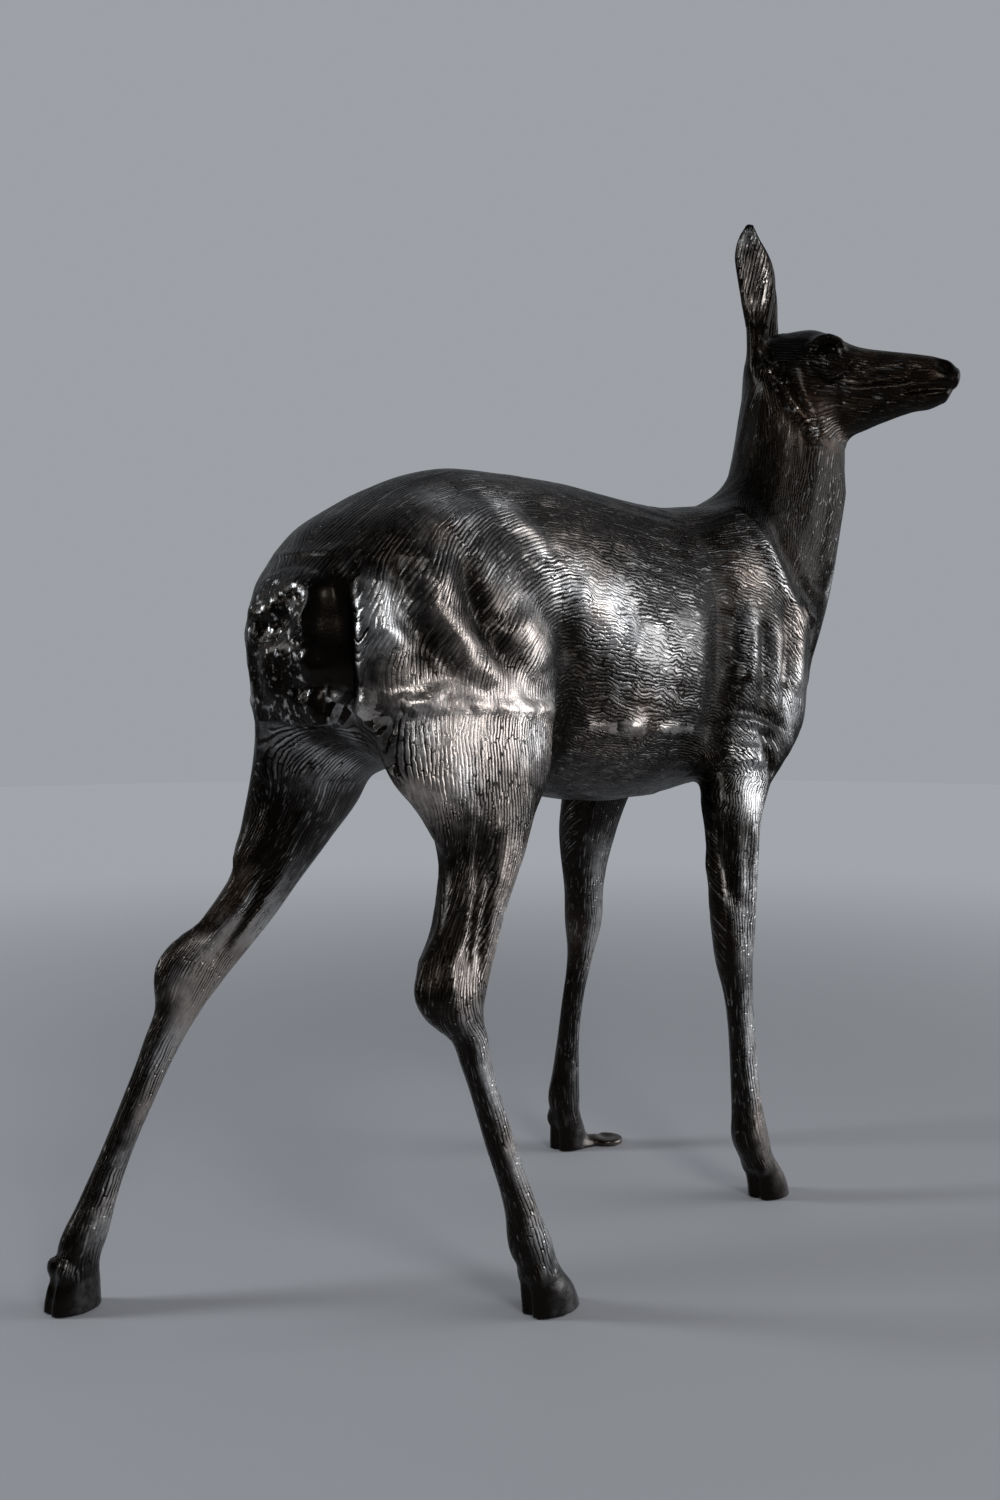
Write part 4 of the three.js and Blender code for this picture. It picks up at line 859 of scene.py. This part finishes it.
def surface_values(doe, form, points, normals):
    """Fine relief along the normals, and the masks that the finish reads."""
    x, y, z = points.T
    unit = form.height / EAR_TIP
    across, along, stretch = hair_flow(doe, points)
    rise = doe.carving(points)
    weld = np.zeros(len(points))
    for width, line in WELDS:
        gap, share = along_line(x, z, line)
        band = width * (1 + 0.4 * noise(points * 0.35, 12))
        ridge = np.exp(-((gap / band**2) ** 2)) * smooth(2.5, 4, np.abs(y)) * smooth(0, 0.02, share)
        weld = np.maximum(weld, ridge)
    rear = round_tail(x, z)
    tail = rear * smooth(5, 4.2, np.abs(y)) * smooth(-3.9, -3.2, y)
    q = (points - HEAD_AT) @ doe.head_axes.T
    behind_jaw, _ = along_line(q[:, 2], q[:, 1], FACE[-1][2])
    tail = np.maximum(tail, 0.8 * np.exp(-behind_jaw / 0.7) * (z > 74))
    hoof = smooth(3.6, 2.6, z + 0.4 * noise(points * 0.9, 5))
    muzzle = np.where(z > FACE_ABOVE, smooth(15.5, 17.5, q[:, 2]), 0)
    eye = np.zeros(len(points))
    for shape in doe.eyes:
        eye = np.maximum(eye, smooth(0.25, 0.05, shape(points)))
    brown = np.zeros(len(points))
    for spot, radius, amount in BROWN_SPOTS:
        gap = ((points - spot) ** 2).sum(1)
        brown = np.maximum(brown, amount * np.exp(-gap / radius**2))

    wave = 0.35 + 0.6 * smooth(-30, -22, x) * smooth(34, 44, z) * smooth(76, 70, z)
    plain = np.clip(1 - hoof - muzzle - eye - 0.9 * weld - rear * smooth(6.8, 6, np.abs(y)), 0, 1)
    flow = np.column_stack([across * 0.55, along * 0.1, stretch * 7.3])
    sway = np.column_stack([0.5 * noise(points * 0.3, 9), np.zeros(len(points)), np.zeros(len(points))])
    lock = noise(flow + sway, 1) + 0.6 * noise(flow * (2, 2.2, 1) + 0.5, 2)
    detail = lock * plain * form.lock_rise / unit
    bead = noise(points * (0.8, 0.8, 1.1), 3) + 0.5 * noise(points * 1.8, 7)
    detail += weld * (0.25 + bead) * form.weld_rise / unit
    lump = noise(points * (0.7, 0.9, 0.9), 4) + 0.6 * noise(points * 1.7, 6)
    detail += tail * lump * 0.3 * form.weld_rise / unit
    return {
        "hair": np.column_stack([across * unit, along * unit, stretch]), "rise": rise, "weld": weld,
        "tail": tail, "hoof": hoof, "muzzle": muzzle, "eye": eye, "brown": brown,
        "wear_and_painted_light": wear_and_painted_light(doe, points, normals), "detail": detail, "plain": plain, "wave": wave,
    }


def clear_turns(mesh, points, across, plain):
    """No hair within a triangle of where its lie changes at once."""
    edges = np.empty(len(mesh.edges) * 2, np.int32)
    mesh.edges.foreach_get("vertices", edges)
    a, b = edges.reshape(-1, 2).T
    split = np.abs(across[a] - across[b]) > 2.5 * np.linalg.norm(points[a] - points[b], axis=1)
    plain[a[split]] = 0
    plain[b[split]] = 0


def make_doe(form):
    """The mesh of the statue, in metres, with the surface values that the finish reads."""
    unit, doe = form.height / EAR_TIP, Doe(form)
    points, quads = lattice_skin(doe.above_floor, *ROOM, form.cell / unit)
    mesh = thin_out(new_mesh("doe_cast", points, quads), form.triangles)
    points = mesh_points(mesh)
    on_floor = points[:, 2] < 0.05
    inner = on_floor & (doe(points) < -0.6 * form.cell / unit)
    for _ in range(2):
        slope = doe.normals(points)
        size = np.maximum((slope**2).sum(1), 0.2)[:, None]
        step = np.clip(doe(points)[:, None] * slope / size, -0.3, 0.3)
        step[on_floor, 2] = 0
        step[inner] = 0
        points = points - step
    points[on_floor, 2] = 0
    normals = doe.normals(points)
    normals /= np.linalg.norm(normals, axis=1)[:, None] + 1e-9
    values = surface_values(doe, form, points, normals)
    detail = values.pop("detail")
    clear_turns(mesh, points * unit, values["hair"][:, 0], values["plain"])
    moved = points + normals * np.where(on_floor, 0, detail)[:, None]
    moved[:, 2] = np.where(on_floor, 0, np.maximum(moved[:, 2], 0))
    metres = np.column_stack([moved[:, 0] - CENTRE[0], moved[:, 1] - CENTRE[1], moved[:, 2]]) * unit
    mesh.vertices.foreach_set("co", metres.astype(np.float32).ravel())
    for name, value in values.items():
        kind, key = ("FLOAT_VECTOR", "vector") if value.ndim == 2 else ("FLOAT", "value")
        attribute = mesh.attributes.new(name, kind, "POINT")
        attribute.data.foreach_set(key, value.astype(np.float32).ravel())
    mesh.update()
    mesh.shade_smooth()
    return mesh


class Nodes:
    """Short calls for drawing a node tree."""

    def __init__(self, tree):
        self.tree = tree

    def add(self, kind, inputs=None, **settings):
        node = self.tree.nodes.new(kind)
        for key, value in settings.items():
            setattr(node, key, value)
        for key, value in (inputs or {}).items():
            socket = node.inputs[key]
            if isinstance(value, bpy.types.NodeSocket):
                self.tree.links.new(value, socket)
            else:
                socket.default_value = value
        return node

    def math(self, operation, a, b=0.0, c=0.0, clamp=False):
        node = self.add("ShaderNodeMath", {0: a, 1: b, 2: c}, operation=operation, use_clamp=clamp)
        return node.outputs[0]

    def times(self, a, b):
        return self.math("MULTIPLY", a, b)

    def times_add(self, a, b, c, clamp=False):
        return self.math("MULTIPLY_ADD", a, b, c, clamp)

    def vector_math(self, operation, *vectors):
        return self.add("ShaderNodeVectorMath", dict(enumerate(vectors)), operation=operation).outputs

    def vector(self, x, y, z=0.0):
        return self.add("ShaderNodeCombineXYZ", {0: x, 1: y, 2: z}).outputs[0]

    def parts(self, vector):
        return self.add("ShaderNodeSeparateXYZ", {0: vector}).outputs

    def channels(self, colour):
        return self.add("ShaderNodeSeparateColor", {0: colour}).outputs

    def feed(self, node, **sockets):
        """Links values to the named inputs of a node."""
        for name, value in sockets.items():
            self.tree.links.new(value, node.inputs[name])

    def ramp(self, value, low, high, out_low=0.0, out_high=1.0):
        """A soft step of a value from one level to another."""
        node = self.add(
            "ShaderNodeMapRange",
            {"Value": value, "From Min": low, "From Max": high, "To Min": out_low, "To Max": out_high},
            interpolation_type="SMOOTHSTEP",
        )
        return node.outputs[0]

    def mix(self, factor, a, b):
        """One colour where the factor is 0, the other where it is 1."""
        return self.add("ShaderNodeMix", {0: factor, 6: a, 7: b}, data_type="RGBA").outputs[2]

    def noise(self, vector, scale, detail=2.0, roughness=0.5):
        given = {"Vector": vector, "Scale": scale, "Detail": detail, "Roughness": roughness}
        return self.add("ShaderNodeTexNoise", given).outputs["Fac"]

    def attribute(self, name, output="Fac"):
        return self.add("ShaderNodeAttribute", attribute_name=name).outputs[output]


def new_group(name, inputs, outputs):
    """An empty node group with named float or vector sockets."""
    group = bpy.data.node_groups.new(name, "ShaderNodeTree")
    for socket, kind, default in inputs:
        made = group.interface.new_socket(name=socket, in_out="INPUT", socket_type=kind)
        if default is not None:
            made.default_value = default
    for socket, kind in outputs:
        group.interface.new_socket(name=socket, in_out="OUTPUT", socket_type=kind)
    nodes = Nodes(group)
    return group, nodes, nodes.add("NodeGroupInput").outputs, nodes.add("NodeGroupOutput")


def carved_hair_group():
    """Hairs cut side by side along their lie: their height, the grooves between, and worn hair ridges that
    paint glints along some strands.
    """
    group, n, given, out = new_group(
        "carved hair",
        [
            ("Hair", "NodeSocketVector", None), ("Place", "NodeSocketVector", None),
            ("Pitch", "NodeSocketFloat", 0.0043), ("Length", "NodeSocketFloat", 0.03),
            ("Wave", "NodeSocketFloat", 1.0),
        ],
        [("Height", "NodeSocketFloat"), ("Groove", "NodeSocketFloat"), ("Worn", "NodeSocketFloat")],
    )
    lie = n.parts(given["Hair"])
    wild = n.ramp(n.noise(given["Place"], 9.0, 1.0), 0.36, 0.64, 0.5, 1.6)
    slow = n.math("SUBTRACT", n.noise(given["Place"], 34.0, 1.0), 0.5)
    quick = n.math("SUBTRACT", n.noise(given["Place"], 150.0, 1.0), 0.5)
    sway = n.times(n.times(slow, 3.0), wild)
    sway = n.times_add(quick, 1.1, sway)
    flat = n.vector(n.times_add(lie[0], TUFTS_ACROSS, quick), n.times_add(lie[1], TUFTS_ALONG, slow))
    tuft = n.add("ShaderNodeTexVoronoi", {"Vector": flat, "Scale": 1.0}, voronoi_dimensions="2D")
    drawn = n.channels(tuft.outputs["Color"])
    gone = n.parts(n.vector_math("SUBTRACT", flat, tuft.outputs["Position"])[0])[1]
    lean = n.times(n.times(n.math("SUBTRACT", drawn[1], 0.5), 3.4), gone)
    shift = n.math("ADD", n.math("ADD", drawn[0], lean), sway)
    column = n.times_add(shift, given["Wave"], n.math("DIVIDE", lie[0], given["Pitch"]))
    row = n.math("FLOOR", column)
    start = n.add("ShaderNodeTexWhiteNoise", {"W": row}, noise_dimensions="1D").outputs["Value"]
    run = n.times_add(start, 9.0, n.math("DIVIDE", lie[1], given["Length"]))
    run = n.times_add(slow, 1.2, run)
    ridge = n.ramp(n.math("PINGPONG", column, 0.5), 0.0, 0.36)
    ends = n.ramp(n.math("PINGPONG", run, 0.5), 0.0, 0.06, 0.3, 1.0)
    depth = n.ramp(n.noise(n.vector(n.times(column, 0.55), run), 1.0, 2.0), 0.34, 0.56, 0.25, 1.0)
    patch = n.ramp(n.noise(given["Place"], 16.0, 2.0), 0.38, 0.6, 0.35, 1.0)
    depth = n.times(depth, patch)
    cut = n.times(n.math("SUBTRACT", 1.0, n.times(ridge, ends)), depth)
    # Painted glints: worn bare ridges along some strands.
    glint_streak = n.vector(n.times(column, 0.9), n.times(run, 2.4), 5.0)
    worn = n.times(n.ramp(n.noise(glint_streak, 1.0, 1.0), 0.52, 0.68), ridge)
    n.feed(out, Height=n.math("SUBTRACT", 1.0, cut), Groove=n.ramp(cut, 0.2, 0.85), Worn=worn)
    return group


def cast_grain_group():
    """The fine pitted grain of a casting."""
    group, n, given, out = new_group(
        "cast grain", [("Place", "NodeSocketVector", None), ("Size", "NodeSocketFloat", 0.004)],
        [("Height", "NodeSocketFloat")],
    )
    scale = n.math("DIVIDE", 1.0, given["Size"])
    pits = n.add("ShaderNodeTexVoronoi", {"Vector": given["Place"], "Scale": scale, "Randomness": 1.0})
    bumps = n.noise(given["Place"], scale, 3.0, 0.6)
    n.feed(out, Height=n.times_add(n.ramp(pits.outputs["Distance"], 0.0, 0.45), 0.5, bumps))
    return group


def fresh_nodes(owner):
    """The emptied node tree of a material or a world."""
    owner.use_nodes = True
    owner.node_tree.nodes.clear()
    return Nodes(owner.node_tree)


def patina_material(finish, hair, grain):
    """Dark patina over aluminium, worn bare on what stands proud, with painted highlights and glints in the
    bare metal.
    """
    material = bpy.data.materials.new("patinated_aluminium")
    n = fresh_nodes(material)
    place = n.add("ShaderNodeTexCoord").outputs["Object"]
    plain, weld, tail = n.attribute("plain"), n.attribute("weld"), n.attribute("tail")
    hairs = n.add(
        "ShaderNodeGroup",
        {
            "Hair": n.attribute("hair", "Vector"), "Place": place, "Pitch": finish.hair_pitch,
            "Length": finish.hair_length, "Wave": n.attribute("wave"),
        },
        node_tree=hair,
    )
    fine = n.add("ShaderNodeGroup", {"Place": place, "Size": FINE_GRAIN}, node_tree=grain)
    rough_cast = n.add("ShaderNodeGroup", {"Place": place, "Size": ROUGH_GRAIN}, node_tree=grain)

    cloud = n.noise(place, 9.0, 3.0)
    speck = n.noise(place, 90.0, 3.0, 0.6)
    groove = n.times(hairs.outputs["Groove"], plain)
    # Bare metal: worn on what stands proud, plus the map of wear and painted highlights.
    bare = n.times_add(n.attribute("rise"), 0.12, n.attribute("wear_and_painted_light"))
    bare = n.times(bare, n.ramp(cloud, 0.3, 0.68, 0.4, 1.3))
    mottle = n.times(n.math("SUBTRACT", speck, 0.5), n.times_add(bare, 0.8, 0.12))
    bare = n.math("ADD", bare, mottle)
    shaken = n.vector_math("ADD", place, n.times(speck, 0.012))[0]
    flake = n.add("ShaderNodeTexVoronoi", {"Vector": shaken, "Scale": WELD_FLAKES})
    scraped = n.times_add(n.channels(flake.outputs["Color"])[0], 0.8, -0.12)
    bare = n.times_add(weld, scraped, bare)
    # Painted glints: worn ridges of some hair strands shown as bright bare metal.
    bare = n.times_add(n.times(hairs.outputs["Worn"], plain), 0.22, bare)
    bare = n.times_add(groove, -0.75, bare, clamp=True)
    brown = n.times(n.ramp(n.noise(place, 14.0, 3.0), 0.42, 0.6), n.attribute("brown"))
    stain = n.times(n.ramp(n.noise(place, 6.0, 2.0), 0.46, 0.62), 0.5)
    metal = n.mix(n.math("MAXIMUM", brown, stain), (*finish.worn, 1), (*finish.copper, 1))
    bare = n.times_add(brown, 0.4, bare, clamp=True)
    bare = n.ramp(bare, 0.06, 0.85)
    # Painted glints: bright metal specks over the rough cast of the tail and the strip behind the jaw.
    painted_glint = n.times(n.ramp(n.noise(place, 120.0, 2.0), 0.56, 0.72), tail)
    bare = n.times_add(painted_glint, 0.9, bare, clamp=True)
    tinted = n.mix(n.attribute("brown"), (*finish.patina, 1), (*finish.dark_brown, 1))
    colour = n.mix(bare, tinted, metal)
    rough = n.times_add(groove, 0.12, n.ramp(speck, 0.3, 0.7, 0.24, 0.36))
    rough = n.times_add(n.attribute("eye"), -0.12, rough)

    tall = n.times(hairs.outputs["Height"], plain)
    coarse = n.times(rough_cast.outputs["Height"], n.times_add(weld, 0.4, tail))
    normal = {}
    for height, strength, depth in (
        (tall, 1.0, finish.hair_depth), (coarse, 1.0, ROUGH_DEPTH), (fine.outputs["Height"], 0.5, FINE_DEPTH),
    ):
        bump = n.add("ShaderNodeBump", {"Height": height, "Strength": strength, "Distance": depth, **normal})
        normal = {"Normal": bump.outputs[0]}
    shader = n.add(
        "ShaderNodeBsdfPrincipled",
        {
            "Base Color": colour, "Roughness": rough, "Metallic": 0.95, "Coat Weight": 0.1,
            "Coat Roughness": 0.12, **normal,
        },
    )
    n.add("ShaderNodeOutputMaterial", {"Surface": shader.outputs[0]})
    return material


class DOE_OT_statue(bpy.types.Operator):
    """Builds the cast doe over its solid."""

    bl_idname = "doe.statue"
    bl_label = "Cast doe"

    def execute(self, context):
        mesh = make_doe(context.scene.doe_form)
        statue = bpy.data.objects.new("doe_cast", mesh)
        context.scene.collection.objects.link(statue)
        finish = context.scene.doe_finish
        mesh.materials.append(patina_material(finish, carved_hair_group(), cast_grain_group()))
        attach(statue, "root")
        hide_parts("doe")
        return {"FINISHED"}


BACKDROP = (0.62, 0.65, 0.70)
CAMERA_AT = (-1.3207, -1.1896, 0.6447)
CAMERA_RIGHT = (0.6971, -0.7170, -0.0018)
CAMERA_UP = (0.0406, 0.0369, 0.9985)
CAMERA_LENS, SENSOR_WIDTH = 37.32, 36
FLOOR_FADES = (0.7, 3.4)  # the floor melts into the backdrop between these radii
# Glow of the surround: towards where, how nearly so from and to, and its strength there.
GLOWS = [
    ((0.6, 0.6, 0.25), 0.0, 0.85, 0.07, 0.6), ((0.72, -0.68, 0.1), 0.62, 1.0, 0.0, 2.4),
    ((-0.7, -0.68, 0.2), 0.5, 1.0, 0.0, 0.25),
]
# Soft lights: name, place, height aimed at, width, height, share of the main power, colour.
LIGHTS = [
    ("right", (3.0, -3.0, 1.5), 0.6, 2.2, 2.2, 0.7, (1, 1, 1)),
    ("key", (-1.2, -2.6, 2.3), 0.65, 0.8, 0.8, 0.25, (1, 1, 1)),
    ("window", (-2.2, 2.0, 1.8), 0.7, 0.6, 1.6, 0.5, (0.92, 0.96, 1)),
]


def soft_light(name, at, aim, width, height, power, colour):
    data = bpy.data.lights.new(name, "AREA")
    data.shape, data.size, data.size_y = "RECTANGLE", width, height
    data.energy, data.color = power, colour
    light = bpy.data.objects.new(name, data)
    light.location = at
    light.rotation_euler = (Vector((0, 0, aim)) - Vector(at)).to_track_quat("-Z", "Y").to_euler()
    bpy.context.scene.collection.objects.link(light)


class DOE_OT_studio(bpy.types.Operator):
    """Builds the pale floor, the soft lights and the camera."""

    bl_idname = "doe.studio"
    bl_label = "Studio"

    def execute(self, context):
        studio = context.scene.doe_studio
        scene = context.scene
        ring = [(studio.floor_radius * math.cos(a), studio.floor_radius * math.sin(a), 0.0)
                for a in np.linspace(0, 2 * math.pi, 97)[:-1]]
        mesh = bpy.data.meshes.new("studio_floor")
        mesh.from_pydata(ring, [], [list(range(len(ring)))])
        floor = bpy.data.objects.new("studio_floor", mesh)
        scene.collection.objects.link(floor)
        material = bpy.data.materials.new("studio_floor")
        n = fresh_nodes(material)
        place = n.add("ShaderNodeTexCoord").outputs["Object"]
        far = n.ramp(n.vector_math("LENGTH", place)["Value"], *FLOOR_FADES)
        seen = n.add("ShaderNodeLightPath").outputs["Is Camera Ray"]
        shader = n.add(
            "ShaderNodeBsdfPrincipled",
            {
                "Base Color": n.mix(far, (*studio.floor_colour, 1), (0, 0, 0, 1)), "Roughness": 0.75,
                "Emission Color": (*BACKDROP, 1),
                "Emission Strength": n.times(n.times(far, seen), studio.sky_strength),
            },
        )
        n.add("ShaderNodeOutputMaterial", {"Surface": shader.outputs[0]})
        mesh.materials.append(material)

        world = bpy.data.worlds.new("studio")
        scene.world = world
        n = fresh_nodes(world)
        towards = n.add("ShaderNodeTexCoord").outputs["Generated"]
        glow = 0.0
        for way, *levels in GLOWS:
            facing = n.vector_math("DOT_PRODUCT", towards, way)["Value"]
            glow = n.math("ADD", glow, n.ramp(facing, *levels))
        seen = n.add("ShaderNodeLightPath").outputs["Is Camera Ray"]
        shown = n.add("ShaderNodeMix", {0: seen, 2: glow, 3: 1.0}).outputs[0]
        strength = n.times(shown, studio.sky_strength)
        backdrop = n.add("ShaderNodeBackground", {"Color": (*BACKDROP, 1), "Strength": strength})
        n.add("ShaderNodeOutputWorld", {"Surface": backdrop.outputs[0]})

        for name, at, aim, width, height, share, colour in LIGHTS:
            soft_light(name, at, aim, width, height, studio.key_power * share, colour)

        data = bpy.data.cameras.new("camera")
        data.lens, data.sensor_width = CAMERA_LENS, SENSOR_WIDTH
        camera = bpy.data.objects.new("camera", data)
        right, up = Vector(CAMERA_RIGHT).normalized(), Vector(CAMERA_UP)
        back = right.cross(up).normalized()
        up = back.cross(right)
        turn = Matrix((right, up, back)).transposed()
        camera.matrix_world = Matrix.Translation(CAMERA_AT) @ turn.to_4x4()
        scene.collection.objects.link(camera)
        scene.camera = camera
        scene.view_settings.view_transform = "Standard"
        return {"FINISHED"}


class DOE_PT_panel(bpy.types.Panel):
    """Lists the doe's sizes, finish and studio."""

    bl_idname = "DOE_PT_panel"
    bl_label = "Cast doe"
    bl_space_type = "VIEW_3D"
    bl_region_type = "UI"
    bl_category = "Doe"

    def draw(self, context):
        scene = context.scene
        for group, operator in (
            (scene.doe_form, "doe.statue"), (scene.doe_finish, None), (scene.doe_studio, "doe.studio"),
        ):
            box = self.layout.box()
            for name in group.__annotations__:
                box.prop(group, name)
            if operator:
                box.operator(operator)


CLASSES = (DoeForm, DoeFinish, DoeStudio, DOE_OT_statue, DOE_OT_studio, DOE_PT_panel)
SETTINGS = {"doe_form": DoeForm, "doe_finish": DoeFinish, "doe_studio": DoeStudio}


def register():
    for cls in CLASSES:
        bpy.utils.register_class(cls)
    for name, cls in SETTINGS.items():
        setattr(bpy.types.Scene, name, bpy.props.PointerProperty(type=cls))


def unregister():
    for name in SETTINGS:
        delattr(bpy.types.Scene, name)
    for cls in reversed(CLASSES):
        bpy.utils.unregister_class(cls)


def main():
    register()
    bpy.ops.doe.statue()
    bpy.ops.doe.studio()


if __name__ == "__main__":
    main()
